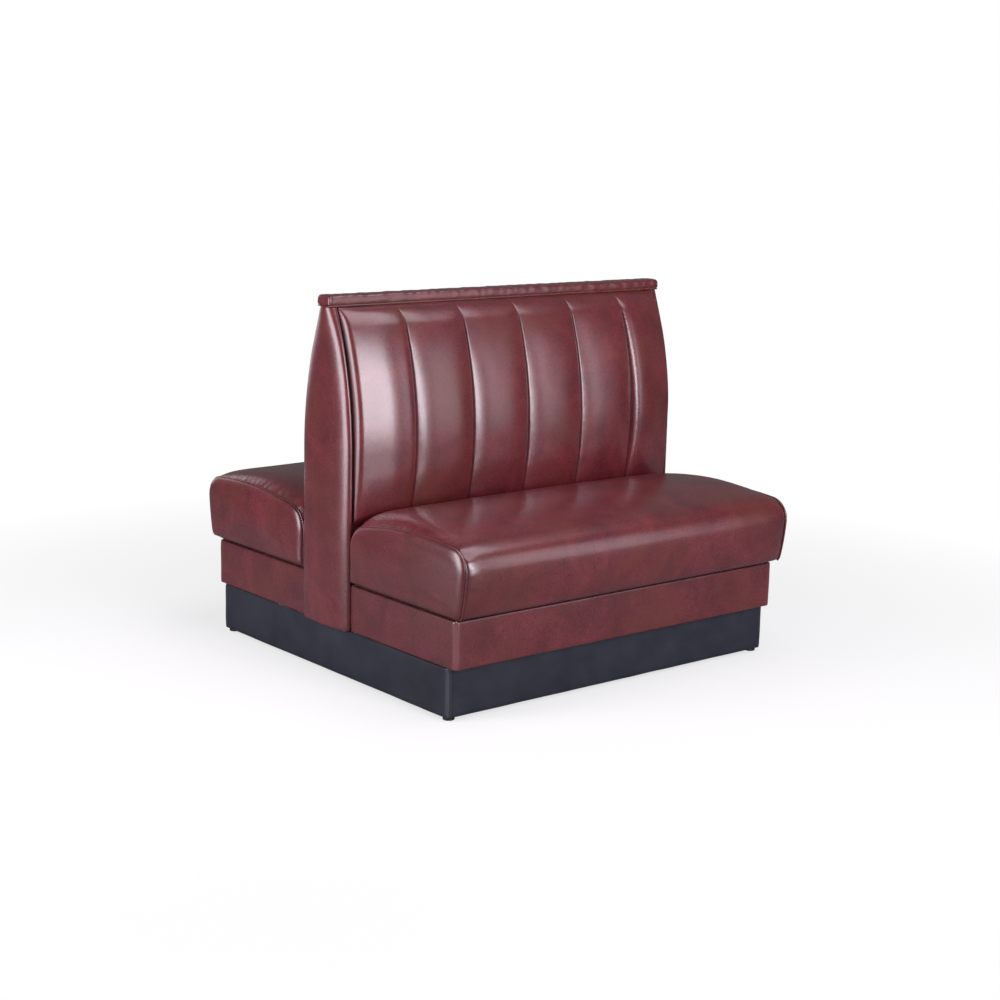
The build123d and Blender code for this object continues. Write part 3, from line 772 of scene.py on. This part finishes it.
# %% [markdown]
# ## Swelling between seams
# A stuffed cover is cloth under pressure: it is held at its seams and swells between them. Blender's
# Cloth gives that, with the seam points pinned and an even air pressure inside. No point may move
# further than a limit, so that the back stays in its own space.

# %% Swell a piece like stuffed vinyl
vinyl_cloth = dict(quality=6, mass=0.4, tension_stiffness=30, compression_stiffness=30, shear_stiffness=12,
                   bending_stiffness=1.5, use_pressure=True)
swell_steps = 20


def swell(piece, held, pressure, limit):
    """Lets a piece swell between its held points, then keeps the result."""
    start = points_of(piece)
    cloth = piece.modifiers.new("swell", "CLOTH")
    for setting, value in vinyl_cloth.items():
        setattr(cloth.settings, setting, value)
    pins = piece.vertex_groups.new(name="seams")
    pins.add([int(index) for index in held], 1.0, "REPLACE")
    cloth.settings.vertex_group_mass = pins.name
    cloth.settings.uniform_pressure_force = pressure
    cloth.settings.effector_weights.gravity = 0
    for step in range(1, swell_steps + 1):
        scene.frame_set(step)
    swollen = piece.evaluated_get(bpy.context.evaluated_depsgraph_get())
    places = np.zeros(len(start) * 3)
    swollen.to_mesh().vertices.foreach_get("co", places)
    swollen.to_mesh_clear()
    piece.modifiers.remove(cloth)
    piece.vertex_groups.clear()
    scene.frame_set(1)
    change = places.reshape(-1, 3) / millimetre - start
    length = np.maximum(np.linalg.norm(change, axis=1), 1e-9)
    move_points(piece, start + change * np.minimum(1.0, limit / length)[:, None])
    print(piece.name, "swelled by up to", round(float(np.minimum(length, limit).max()), 1), "mm")


# %% Stuff the inside backs
def stuffed_back():
    """One front inside back, its channels swollen between the seams."""
    stations = back_stations()
    rings = [at_place(place, back_section(depths)) for place, depths in stations]
    piece = skin("front_back_vinyl", rings)
    columns = len(rings[0])
    seams = np.arange(channel_count - 1) * channel_pitch - last_seam
    held = []
    for row, (place, _) in enumerate(stations):
        sewn = np.abs(seams - place).min() < 0.5 or row in (0, len(stations) - 1)
        held += [row * columns + column for column in range(columns)
                 if sewn or column < 2 or column >= front_points - 2]
    swell(piece, held, 0.8, 1.5)
    piece = smooth_once(piece)
    points = points_of(piece)
    x, y, z = points.T
    from_seam = np.abs(x[:, None] - seams[None, :]).min(axis=1)
    facing = y < -half_depth(np.minimum(z, back_top)) - 6
    below_top = back_top - z
    points[:, 1] += 3.2 * bell(from_seam, 2.4) * np.clip(below_top / 60, 0, 1) * facing
    move_points(piece, points)
    ripple(piece, 0.45 * fading(from_seam, 14) * facing * (from_seam > 2), (30.0, 30.0, 15.0), seed=5.7)
    ripple(piece, 1.2 * facing, (110.0, 110.0, 150.0), seed=1.3)
    # Painted shade: the back is darkened along its seams, fading out near the top, and along its side edges.
    seam_shade = bell(from_seam, 1.8) * np.clip((below_top - 14) / 40, 0, 1) * facing
    mark(piece, "groove", seam_shade, fading(back_side - np.abs(x), 2.2))
    return piece


for side, piece in dress_twins(stuffed_back(), "booth_frame", vinyl, "{}_back_cushion"):
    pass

# %% [markdown]
# ## The padded ends
# Each end board is padded and wrapped, so its long edges are round and its face is slightly crowned.
# A ring at each height follows the tapering outline of the back, from edge to edge.

# %% Pad the ends
end_round_depth, end_round_width = 19.0, 62.0
end_overhang, overhang_fade = 5.6, 120
face_crown = 2.2


def end_ring(height, tuck):
    """Section of the padded end at a height, drawn in by a tuck at its top and bottom."""
    overhang = end_overhang * min(1.0, max(0.0, (back_top - height) / overhang_fade))
    half = float(half_depth(height)) - tuck + overhang
    face = -pad_low[0] - tuck
    corner_y = half - min(end_round_width, half - 4)
    start = face - end_round_depth
    side = [complex(half_length, -half), complex((half_length + start) / 2, -half)]
    side += [complex(start + end_round_depth * math.sin(a), -corner_y - (half - corner_y) * math.cos(a))
             for a in np.linspace(0, math.pi / 2, 11)]
    crown = face_crown * min(1.0, corner_y / 45) ** 2
    shares = np.linspace(-1, 1, 15)[1:-1]
    front = [complex(face + crown * (1 - share**2), share * corner_y) for share in shares]
    points = np.array(side + front + [point.conjugate() for point in side[::-1]])
    return np.stack([-points.real, points.imag, np.full(len(points), height)], axis=1)


def padded_end():
    """The left padded end with rounded top and bottom rims."""
    low, high = pad_low[2], pad_high[2]
    rings = [end_ring(low, 4.0), end_ring(low + 1.2, 1.2)]
    rings += [end_ring(height, 0.0) for height in np.linspace(low + 5, high - 2, 110)]
    rings += [end_ring(high - 0.6, 0.8), end_ring(high, 3.0)]
    piece = skin("left_end_vinyl", rings)
    raised = np.clip((-half_length - 8 - points_of(piece)[:, 0]) / 8, 0, 1)
    ripple(piece, 1.1 * raised, (90.0, 60.0, 130.0), seed=2.2)
    piece = smooth_once(piece)
    # Painted shade: the pad is darkened towards its inner side, next to the welts.
    mark(piece, "groove", fading(-half_length - points_of(piece)[:, 0], 1.8))
    return piece


for side, piece in dress_twins(padded_end(), "booth_frame", vinyl, "{}_end_pad",
                               sides=("left", "right"), axis=(1, 0, 0)):
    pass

# %% [markdown]
# ## The cap
# The cap is a thin roll of padding over a board. Its vinyl is pulled tight underneath, so the front
# edge shows small puckers along its whole length. The section is a soft box, and its size falls off
# in the last few millimetres so that the ends are round too.

# %% Pad the cap
cap_round = 9.0
cap_end_round = 8.0
fold_inset, fold_lean, fold_width, fold_depth = 10, 5, 3.0, 0.8


def cap_ring(x, tuck):
    """Section of the cap, drawn in by a tuck near its ends."""
    half = cap_high[1] - tuck
    low, high = cap_low[2] + 0.2 + tuck * 0.3, cap_high[2] - tuck
    radius = min(cap_round, half - 2)
    front = [complex(-half + 3.5, low), complex(-half + 1.2, low + 0.8), complex(-half, low + 3.0),
             complex(-half - 0.8, (low + high - radius) / 2)]
    front += [complex(-half + radius - radius * math.cos(a), high - radius + radius * math.sin(a))
              for a in np.linspace(0, math.pi / 2, 8)]
    top = [complex(share * (half - radius), high + 0.9 * (1 - share**2)) for share in (-0.6, -0.2, 0.2, 0.6)]
    rear = [complex(-point.real, point.imag) for point in front[::-1]]
    return at_place(x, np.array(front + top + rear))


def padded_cap():
    """The whole cap, puckered along its rounded edges and folded at its ends."""
    end = cap_high[0]
    ends = [(end - cap_end_round * (1 - math.cos(a)), cap_end_round * (1 - math.sin(a)) * 0.9)
            for a in np.linspace(0, math.pi / 2, 7)]
    rings = [cap_ring(-x, tuck) for x, tuck in ends]
    rings += [cap_ring(x, 0.0) for x in np.linspace(-end + cap_end_round, end - cap_end_round, 300)[1:-1]]
    rings += [cap_ring(x, tuck) for x, tuck in ends[::-1]]
    piece = skin("cap_vinyl", rings)
    x, y, z = points_of(piece).T
    edge = np.exp(-((np.abs(y) - cap_high[1] + 4) ** 2) / 60) * (z > cap_low[2] + 5)
    ripple(piece, 2.0 * edge, (23.0, 25.0, 25.0), seed=4.6)
    piece = smooth_once(piece)
    points = points_of(piece)
    x, y, z = points.T
    rise = (z - cap_low[2]) / (cap_high[2] - cap_low[2])
    upright_face = np.clip((np.abs(y) - cap_high[1] + 9) / 6, 0, 1)
    fold = bell(end - fold_inset - fold_lean * rise - np.abs(x), fold_width) * upright_face
    points[:, 1] -= np.sign(y) * fold_depth * fold
    move_points(piece, points)
    # Painted shade: the cap is darkened in its end folds and along its underside edge.
    mark(piece, "groove", 0.9 * fold, fading(z - cap_low[2], 1.5))
    return piece


cap = dress(padded_cap(), "booth_frame", vinyl, "cap_pad")

# %% [markdown]
# ## The wrapped boxes
# The seat boxes and the plinth are boards wrapped in vinyl over a thin layer of wadding. A wrap
# follows a path in plan, with a section that rounds over at its rims and turns under the board.


# %% Walk round a box
def rounded_path(turns, radius, closed):
    """Stations in plan along a path with round corners, each with its way along the path."""
    turns = [complex(*turn) for turn in turns]
    inner = turns if closed else turns[1:-1]
    stations = []
    for index, corner in enumerate(inner, 0 if closed else 1):
        before, after = turns[index - 1], turns[(index + 1) % len(turns)]
        way_in = (corner - before) / abs(corner - before)
        way_out = (after - corner) / abs(after - corner)
        first = corner - way_in * radius
        arc, _ = leaving(first, way_in, corner + way_out * radius, 8)
        bends = cmath.phase(way_out / way_in) * np.linspace(0, 1, 9)
        stations += [(place, way_in * cmath.exp(1j * bend)) for place, bend in zip([first, *arc], bends)]
    if closed:
        return stations
    return [(turns[0], stations[0][1]), *stations, (turns[-1], stations[-1][1])]


def filled_in(stations, spacing, closed):
    """The same stations with more of them on the straight runs."""
    result = []
    following = stations[1:] + stations[:1] if closed else stations[1:]
    for (place, way), (next_place, _) in zip(stations, following):
        parts = max(1, round(abs(next_place - place) / spacing))
        shares = np.arange(parts) / parts
        if parts > 4:
            shares = np.concatenate([[0, 0.012], shares[1:], [0.988]])
        result += [(place + share * (next_place - place), way) for share in shares]
    return result if closed else [*result, stations[-1]]


def upright_ring(place, way, profile):
    """A section of depths and heights, set upright across a path."""
    spots = [place + way * 1j * depth for depth, _ in profile]
    return np.array([(spot.real, spot.imag, height) for spot, (_, height) in zip(spots, profile)])


def wrap(name, stations, bottom, top, skin_depth, lip_at, over_at, closed):
    """Vinyl wrapped along a path, rounded at its rims, turned in under and over the board."""
    rim = 3.5
    heights = np.linspace(bottom + rim, top - rim, 16)
    face = [(-0.8 * math.sin(math.pi * (height - bottom) / (top - bottom)), height) for height in heights]
    rings = []
    for place, way in stations:
        inner, lip, over = skin_depth + 0.5, skin_depth + lip_at(place), skin_depth + over_at(place)
        profile = [(rim, bottom), (rim * 0.3, bottom + rim * 0.3), *face, (rim * 0.3, top - rim * 0.3),
                   (rim, top + 0.2), (over, top + 0.2), (over, top + 0.05), (inner, top + 0.05),
                   (inner, bottom + rim), (lip, bottom + rim * 0.8), (lip, bottom)]
        rings.append(upright_ring(place, way, profile))
    return skin(name, rings, closed)


def outside(points, x, y):
    """1 on the outer faces of a box, 0 inside."""
    return (np.abs(points[:, 0]) > x - 2) | (np.abs(points[:, 1]) > y - 2)


def mark_wrap(piece, x, y, bottom, top, *folds):
    """Painted shade along the rims and folds of a wrap, and a painted highlight, paler, over its upright
    corners.
    """
    points = np.abs(points_of(piece))
    heights = points[:, 2]
    rims = [np.exp(-np.abs(heights - rim) / 1.4) for rim in (bottom, top)]
    mark(piece, "groove", *folds, *rims)
    mark(piece, "stretch", bell(np.hypot(x - points[:, 0], y - points[:, 1]), 10))


# %% Wrap the seat boxes
apron_radius, apron_spacing = 13.0, 16.0
apron_skin, front_lip, least_lip = 4.0, 27.0, 0.5


def wrapped_box():
    """Vinyl round three sides of the front seat box."""
    side, rear = half_length, apron_high[1]
    turns = [(-side, rear), (-side, -box_front), (side, -box_front), (side, rear)]
    stations = filled_in(rounded_path(turns, apron_radius, False), apron_spacing, False)
    piece = wrap("front_apron_vinyl", stations, plinth_top + 0.3, box_top, apron_skin,
                 lambda place: front_lip if abs(place.real) < side - 16 else least_lip,
                 lambda place: 6.0 if abs(place.real) > side - 1 else 0.45, False)
    ripple(piece, 1.3 * outside(points_of(piece), side, box_front), (70.0, 70.0, 60.0), seed=6.3)
    piece = smooth_once(piece)
    # Painted shade along the rims and a painted highlight over the corners of the apron wrap.
    mark_wrap(piece, side, box_front, plinth_top, box_top)
    return piece


dress_twins(wrapped_box(), "booth_frame", vinyl, "{}_apron_cover")

# %% Wrap the plinth
plinth_radius, plinth_spacing = 9.0, 16.0
plinth_skin, plinth_lip = 3.0, 13.5
lap_places, lap_width, lap_height = (8, 17), 1.6, 1.3
hem_height, hem_width, hem_depth = 9, 1.2, 0.7


def wrapped_plinth():
    """Black vinyl right round the plinth, lapped at the corners, its hem turned under."""
    side, front, _ = skirt_high
    turns = [(-side, front), (-side, -front), (side, -front), (side, front)]
    stations = filled_in(rounded_path(turns, plinth_radius, True), plinth_spacing, True)
    piece = wrap("plinth_vinyl", stations, skirt_low[2], skirt_high[2], plinth_skin,
                 lambda place: plinth_lip, lambda place: 0.5, True)
    ripple(piece, 1.2 * outside(points_of(piece), side, front), (80.0, 80.0, 50.0), seed=7.7)
    piece = smooth_once(piece)
    points = points_of(piece)
    x, y, z = points.T
    from_corner = side - np.abs(x)
    on_front = np.abs(y) > front - 2
    laps = sum(bell(from_corner - place, lap_width) for place in lap_places) * on_front
    hem = bell(z - skirt_low[2] - hem_height, hem_width) * outside(points, side, front)
    inward = -np.stack([np.sign(x) * (from_corner < 2), np.sign(y) * on_front, 0 * z], axis=1)
    moved = points + inward * hem_depth * hem[:, None]
    moved[:, 1] -= np.sign(y) * lap_height * laps
    move_points(piece, moved)
    # Painted shade in the laps, along the hem and at the rims, and a painted highlight over the corners.
    mark_wrap(piece, side, front, skirt_low[2], skirt_high[2], 0.8 * laps, 0.7 * hem)
    return piece


dress(wrapped_plinth(), "booth_frame", black, "plinth_cover")


# %% Wrap the seat decks
def band(name, stations, bottom, top, thickness):
    """A thin closed band of vinyl along a path."""
    profile = [(0, bottom), (0, top), (thickness, top), (thickness, bottom)]
    return skin(name, [upright_ring(place, way, profile) for place, way in stations], True)


def rectangle(low, high, grown, *height):
    """Four corners in plan of a box that is grown on every side, at a height if one is given."""
    x0, y0, x1, y1 = low[0] - grown, low[1] - grown, high[0] + grown, high[1] + grown
    return [(*corner, *height) for corner in ((x0, y0), (x1, y0), (x1, y1), (x0, y1))]


def round_deck(grown, *height):
    """Corners round the deck of the front seat, from its far left one."""
    return np.roll(rectangle((-deck_high[0], deck_low[1]), deck_high, grown, *height), 1, axis=0)


deck_path = rounded_path(round_deck(1.2), 4.0, True)
dress_twins(band("front_deck_wrap", deck_path, deck_low[2] + 0.3, seat_bottom + 1.0, 1.0), "{}_seat", vinyl)

# %% [markdown]
# ## Dust cloths
# A black cloth closes the underside of each seat. It is stapled to the rails all round and sags a
# little between them, with soft wrinkles between its middle and the rails.

# %% Stretch the dust cloths
cloth_low, cloth_high = corners("front_seat_dust_cloth")
cloth_size = cloth_high - cloth_low
rail_width = 34.0


def stretched_cloth():
    """The front dust cloth, flat on its rails and slack between them."""
    across, along = 81, 33
    x, y = np.meshgrid(np.linspace(cloth_low[0], cloth_high[0], across),
                       np.linspace(cloth_low[1], cloth_high[1], along), indexing="ij")
    from_edge = np.minimum.reduce([x - cloth_low[0], cloth_high[0] - x, y - cloth_low[1], cloth_high[1] - y])
    free = np.clip((from_edge - rail_width) / 90, 0, 1)
    spots = zip(x.ravel() / 60, y.ravel() / 60)
    wrinkles = np.array([noise.noise(Vector((*spot, 2.5))) for spot in spots])
    sag = free * (2 - free) * (3.6 + 1.4 * wrinkles.reshape(x.shape))
    firsts = [row * along + column for row in range(across - 1) for column in range(along - 1)]
    faces = [(first, first + along, first + along + 1, first + 1) for first in firsts]
    points = np.stack([x, y, cloth_high[2] - sag], axis=-1).reshape(-1, 3)
    piece = link_mesh("dust_cloth_flat", points, faces)
    if piece.data.polygons[0].normal.z < 0:
        piece.data.flip_normals()
    thick = piece.modifiers.new("thickness", "SOLIDIFY")
    thick.thickness, thick.offset = cloth_size[2] * millimetre, -1.0
    return plain_copy(piece, "front_dust_sheet")


for side, piece in dress_twins(stretched_cloth(), "{}_seat", felt, "{}_seat_dust_cloth"):
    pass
print("dust cloths of", round(cloth_size[0]), "by", round(cloth_size[1]), "mm")

# %% [markdown]
# ## Pieces grown on paths
# A welt is a cord wrapped in the same vinyl. It follows a path, so Geometry Nodes sweep a round
# profile along it, with a small uneven pull from the sewing. Staples hold the dust cloths: a second
# tree sets a small flat crown at even spacing, a little askew, as a staple gun leaves them. Both
# trees have named inputs, and each serves every piece of its kind.


# %% A geometry tree
class Recipe(Graph):
    """A geometry tree with named inputs, which ends in plain, dressed geometry."""

    def __init__(self, name, inputs):
        super().__init__(bpy.data.node_groups.new(name, "GeometryNodeTree"))
        sockets = self.tree.interface
        sockets.new_socket("Geometry", in_out="INPUT", socket_type="NodeSocketGeometry")
        for label, (kind, value) in inputs.items():
            sockets.new_socket(label, in_out="INPUT", socket_type="NodeSocket" + kind).default_value = value
        sockets.new_socket("Finish", in_out="INPUT", socket_type="NodeSocketMaterial")
        sockets.new_socket("Geometry", in_out="OUTPUT", socket_type="NodeSocketGeometry")
        self.entry = self.node("NodeGroupInput", {}, {})

    def end_in(self, shape):
        real = self.node("GeometryNodeRealizeInstances", {}, {"Geometry": shape})
        inputs = {"Geometry": real, "Material": self.entry.beside("Finish")}
        self.node("NodeGroupOutput", {}, {0: self.node("GeometryNodeSetMaterial", {}, inputs)})

    def grow(self, name, paths, **values):
        """Runs the tree on paths of points in millimetres, each open or closed, and keeps the mesh."""
        points, edges = [], []
        for path, closed in paths:
            first = len(points)
            points += [tuple(point) for point in np.asarray(path) * millimetre]
            edges += [(index, index + 1) for index in range(first, len(points) - 1)]
            edges += [(len(points) - 1, first)] if closed else []
        mesh = bpy.data.meshes.new(name + "_path")
        mesh.from_pydata(points, edges, [])
        piece = bpy.data.objects.new(name + "_path", mesh)
        scene.collection.objects.link(piece)
        modifier = piece.modifiers.new("grow", "NODES")
        modifier.node_group = self.tree
        for item in self.tree.interface.items_tree:
            if item.in_out == "INPUT" and item.name in values:
                modifier[item.identifier] = values[item.name]
        return plain_copy(piece, name)


# %% A tree for welts
def welt_tree():
    """Sweeps a round cord along the edges of the input."""
    tree = Recipe("welt", {"Radius": ("Float", 0.003), "Spacing": ("Float", 0.006),
                           "Unevenness": ("Float", 0.0002)})
    given = tree.entry.beside
    path = tree.node("GeometryNodeMeshToCurve", {}, {"Mesh": given("Geometry")})
    even = tree.node("GeometryNodeResampleCurve", {"mode": "LENGTH"},
                     {"Curve": path, "Length": given("Spacing")})
    place = tree.node("GeometryNodeInputPosition", {}, {})
    waves = tree.node("TexNoise", {}, {"Vector": place, "Scale": 70.0, "Detail": 1.0}, "Color")
    centred = tree.node("VectorMath", {"operation": "SUBTRACT"}, {0: waves, 1: (0.5, 0.5, 0.5)})
    pull = tree.node("VectorMath", {"operation": "SCALE"}, {0: centred, "Scale": given("Unevenness")})
    moved = tree.node("GeometryNodeSetPosition", {}, {"Geometry": even, "Offset": pull})
    ring = tree.node("GeometryNodeCurvePrimitiveCircle", {}, {"Resolution": 12, "Radius": given("Radius")})
    swept = {"Curve": moved, "Profile Curve": ring, "Fill Caps": True}
    cord = tree.node("GeometryNodeCurveToMesh", {}, swept)
    tree.end_in(tree.node("GeometryNodeSetShadeSmooth", {}, {"Geometry": cord}))
    return tree


welting = welt_tree()


def lay_welts(name, paths, radius, body, *nodes):
    """Welts of one node as one piece of vinyl cord."""
    dress(welting.grow(name, paths, Radius=radius * millimetre, Finish=vinyl), body, vinyl, *nodes)


# %% Lay the welts
side_heights = np.concatenate([[plinth_top + 1], np.linspace(waist_height, back_top - 0.5, 24)])
side_inset = panel_inset - welt_radius - 1.0
side_path = np.array([(welt_radius - half_length, -float(half_depth(height, side_inset)), height)
                      for height in side_heights])
side_paths = [(side_path * signs, False) for signs in ((1, 1, 1), (-1, 1, 1), (1, -1, 1), (-1, -1, 1))]
lay_welts("side_welts", side_paths, 3.1, "booth_frame", "back_side_welts")

end_path = at_place(seat_side + welt_radius, seat_outline(0.0))
under_path = round_deck(5.5, seat_bottom - welt_radius)
for side, sign in (("front", 1), ("rear", -1)):
    ends = [(end_path * (1, sign, 1), False), (end_path * (-1, sign, 1), False)]
    lay_welts(f"{side}_end_welting", ends, 2.9, f"{side}_seat", f"{side}_seat_end_welts")
    bottom = [(under_path * (1, sign, 1), True)]
    lay_welts(f"{side}_bottom_welting", bottom, 2.9, f"{side}_seat", f"{side}_seat_bottom_welt")

cap_welt_low, cap_welt_high = corners("cap_welt")
cap_path = rectangle(cap_welt_low, cap_welt_high, -2, (cap_welt_low[2] + cap_welt_high[2]) / 2)
lay_welts("cap_welting", [(cap_path, True)], 2.0, "booth_frame", "cap_welt")


# %% A tree for staples
def staple_tree():
    """Sets a staple crown at even spacing along the edges of the input."""
    tree = Recipe("staples", {"Spacing": ("Float", 0.045), "Crown": ("Float", 0.010),
                              "Wire": ("Float", 0.0011), "Askew": ("Float", 0.25), "Seed": ("Int", 4)})
    given = tree.entry.beside
    path = tree.node("GeometryNodeMeshToCurve", {}, {"Mesh": given("Geometry")})
    places = tree.node("GeometryNodeCurveToPoints", {"mode": "LENGTH"},
                       {"Curve": path, "Length": given("Spacing")}, "Points")
    size = tree.node("CombineXYZ", {}, {"X": given("Wire"), "Y": given("Wire"), "Z": given("Crown")})
    crown = tree.node("GeometryNodeMeshCube", {}, {"Size": size})
    askew = given("Askew")
    turned_by = tree.node("FunctionNodeRandomValue", {"data_type": "FLOAT"},
                          {2: askew * -1.0, 3: askew, "Seed": given("Seed")}, 1)
    along = tree.node("FunctionNodeRotateRotation", {"rotation_space": "LOCAL"},
                      {0: places.beside("Rotation"), 1: tree.node("CombineXYZ", {}, {"Y": turned_by})})
    laid = {"Points": places, "Instance": crown, "Rotation": along}
    tree.end_in(tree.node("GeometryNodeInstanceOnPoints", {}, laid))
    return tree


# %% Staple the dust cloths
stapling = staple_tree()
staple_path = np.array(rectangle(cloth_low, cloth_high, 8.0 - rail_width, cloth_low[2] - 0.3))
for side, sign in (("front", 1), ("rear", -1)):
    staples = stapling.grow(f"{side}_staples", [(staple_path * (1, sign, 1), True)], Finish=metal)
    dress(staples, f"{side}_seat", metal)

# %% [markdown]
# ## Levelling glides
# A glide is a moulded foot on a threaded stem. Both are round, so their half sections are turned
# about the upright axis.

# %% Turn the glides
foot_profile = [(2, 0.6), (12, 0.0), (14.6, 0.1), (15.7, 0.7), (16, 1.8), (16, 4.6), (15.4, 5.6), (14.2, 6.0),
                (9.2, 6.3), (8.0, 6.8), (7.8, 8.4), (4.2, 8.6)]
thread_count, thread_pitch = 22, 1.6
stem_profile = []
for thread in range(thread_count):
    stem_profile += [(4.0, 8.7 + thread * thread_pitch), (3.4, 9.5 + thread * thread_pitch)]


def turned(name, profile, x, y, segments=40):
    """A profile of radius and height turned about an upright axis."""
    angles = np.linspace(0, 2 * math.pi, segments, endpoint=False)
    flat = np.stack([np.cos(angles), np.sin(angles), 0 * angles], axis=1)
    return skin(name, [(x, y, height) + radius * flat for radius, height in profile])


for side in ("front", "rear"):
    for end in ("left", "right"):
        low, high = corners(f"glide_{side}_{end}")
        foot = turned(f"{side}_{end}_glide_foot", foot_profile + stem_profile, *((low + high) / 2)[:2])
        dress(foot, f"{side}_{end}_glide", nylon, f"glide_{side}_{end}")

# %% [markdown]
# ## The boards and fasteners that stay
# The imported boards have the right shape. They only need their wood, with the grain along each board,
# and edges that are a little broken. A Weld joins the loose triangles before the Bevel rounds them.

# %% Finish the boards
long_x = ("front_rail", "rear_rail", "cross_rails", "sill_rails", "waist_rails", "top_rail", "cap_board",
          "box_rail", "box_ledger", "long_rails", "cleats")
long_y = ("left_rail", "right_rail", "end_rails")
lying = ("top_rail", "cap_board")
woods = {}


def wood_for(node, slot):
    """The wood of a board, from the axis of its grain and of its thickness."""
    def among(names):
        return any(name in node for name in names)

    length_axis = 0 if among(long_x) else 1 if among(long_y) else 2
    thin_axis = 2 if among(lying) else 1 if among((*long_x, "panel")) else 0
    name = f"{slot}_{'xyz'[thin_axis]}_{'xyz'[length_axis]}"
    if name not in woods:
        plies = slot == "plywood"
        pale, dark = (birch_pale, birch_dark) if plies else (beech_pale, beech_dark)
        woods[name] = board(name, thin_axis, length_axis, pale, dark, plies)
    return woods[name]


finishes = {slot_of(finish): finish for finish in (vinyl, black, net, felt, metal, nylon)}
slots = {part["node"]: part["material_slot"] for part in frame["record"]["subparts"]}
staying = {node: piece for node, piece in frame["nodes"].items() if not piece.hide_render}
for node, piece in staying.items():
    piece.data.materials.clear()
    piece.data.materials.append(finishes.get(slots[node]) or wood_for(node, slots[node]))
    if slots[node] in ("plywood", "hardwood", "zinc_steel") and "panel" not in node:
        piece.modifiers.new("weld", "WELD").merge_threshold = 0.02 * millimetre
        bevel = piece.modifiers.new("broken edges", "BEVEL")
        bevel.width = 0.6 * millimetre
        bevel.segments = 2
        bevel.limit_method = "ANGLE"
print("finished", len(staying), "packed nodes")

# %% [markdown]
# ## Floor and light
# A pale floor and a plain studio. A tall soft lamp stands straight in front of the front seat, for
# the long highlights beside the seams, with a low one under it. Weaker ones stand to the left, to
# the right and behind, a broad one hangs overhead, and the world fills the rest. Floor and world
# look white to the camera, and dark in glossy reflections, as studio walls do.

# %% Lay the floor
floor_reach = 60.0
pale_dark, pale_light = (0.93,) * 3, (0.95,) * 3
floor_in_light = (0.17, 0.17, 0.17)

floor_mesh = bpy.data.meshes.new("floor")
floor_mesh.from_pydata(rectangle((0, 0), (0, 0), floor_reach, 0), [], [(0, 1, 2, 3)])
floor = bpy.data.objects.new("floor", floor_mesh)
scene.collection.objects.link(floor)
pale = Finish("pale_floor", roughness=0.9, specular=0.0)
seen = pale.seen(0.06)
shade = pale.ramp(pale.noise(1.5, detail=2.0) * 0.02 + 0.5, [(0.0, pale_dark), (1.0, pale_light)])
floor_mesh.materials.append(pale.wear(pale.blend(seen, floor_in_light, shade)))
away = pale.node("VectorMath", {"operation": "LENGTH"}, {0: pale.place}, "Value")
white_share = seen * pale.range(away, 0.9, 2.4, 0.66, 1.0)
glow = pale.node("Emission", {}, {"Color": (1, 1, 1, 1), "Strength": 1.0})
lit = Wire(pale, pale.shader.outputs[0])
pale.join(pale.node("MixShader", {}, {0: white_share, 1: lit, 2: glow}),
          pale.tree.nodes["Material Output"].inputs["Surface"])
floor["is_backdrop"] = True


# %% Hang the lamps
def lamp(name, place, target, width, height, power):
    """A soft rectangular lamp that faces a target."""
    light = bpy.data.lights.new(name, "AREA")
    light.shape = "RECTANGLE"
    light.size, light.size_y = width, height
    light.energy = power
    light.color = (1.0, 0.95, 1.03)
    holder = bpy.data.objects.new(name, light)
    holder.location = place
    holder.rotation_euler = (Vector(target) - Vector(place)).to_track_quat("-Z", "Y").to_euler()
    holder.visible_camera = False
    scene.collection.objects.link(holder)


lamp("front_lamp", (-0.3, -3.65, 1.58), (0, -0.3, 1.4), 0.8, 2.3, 92)
lamp("low_front_lamp", (-0.3, -3.65, 0.22), (0, -0.3, 0.22), 0.8, 0.4, 7)
lamp("left_lamp", (-2.65, 0.2, 1.25), (-0.5, 0.12, 1.2), 1.15, 2.3, 64)
lamp("rear_lamp", (-0.6, 3.7, 1.5), (0, 0.3, 1.3), 1.8, 2.3, 13)
lamp("right_lamp", (1.8, -3.1, 1.35), (0, 0, 1.2), 1.25, 2.2, 18)
lamp("overhead_lamp", (0.3, -1.1, 3.3), (0, -0.3, 0.3), 2.2, 2.2, 44)

scene.world = bpy.data.worlds.new("studio")
scene.world.use_nodes = True
sky = Graph(scene.world.node_tree)
sky.tree.nodes.clear()
walls = sky.blend(sky.seen(0.03), (0.10, 0.10, 0.105), (1, 1, 1))
sky.node("OutputWorld", {}, {0: sky.node("Background", {}, {"Color": walls})})
print("lit with", len(bpy.data.lights), "lamps")

# %% [markdown]
# ## Sizes at the end
# The visual model may not outgrow the imported one, so both boxes are written down before the end.

# %% Write the sizes and finish
dressed_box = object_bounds()
for label, (low, high) in (("packed", cad_box), ("dressed", dressed_box)):
    print(label, [round(size, 3) for size in high - low])
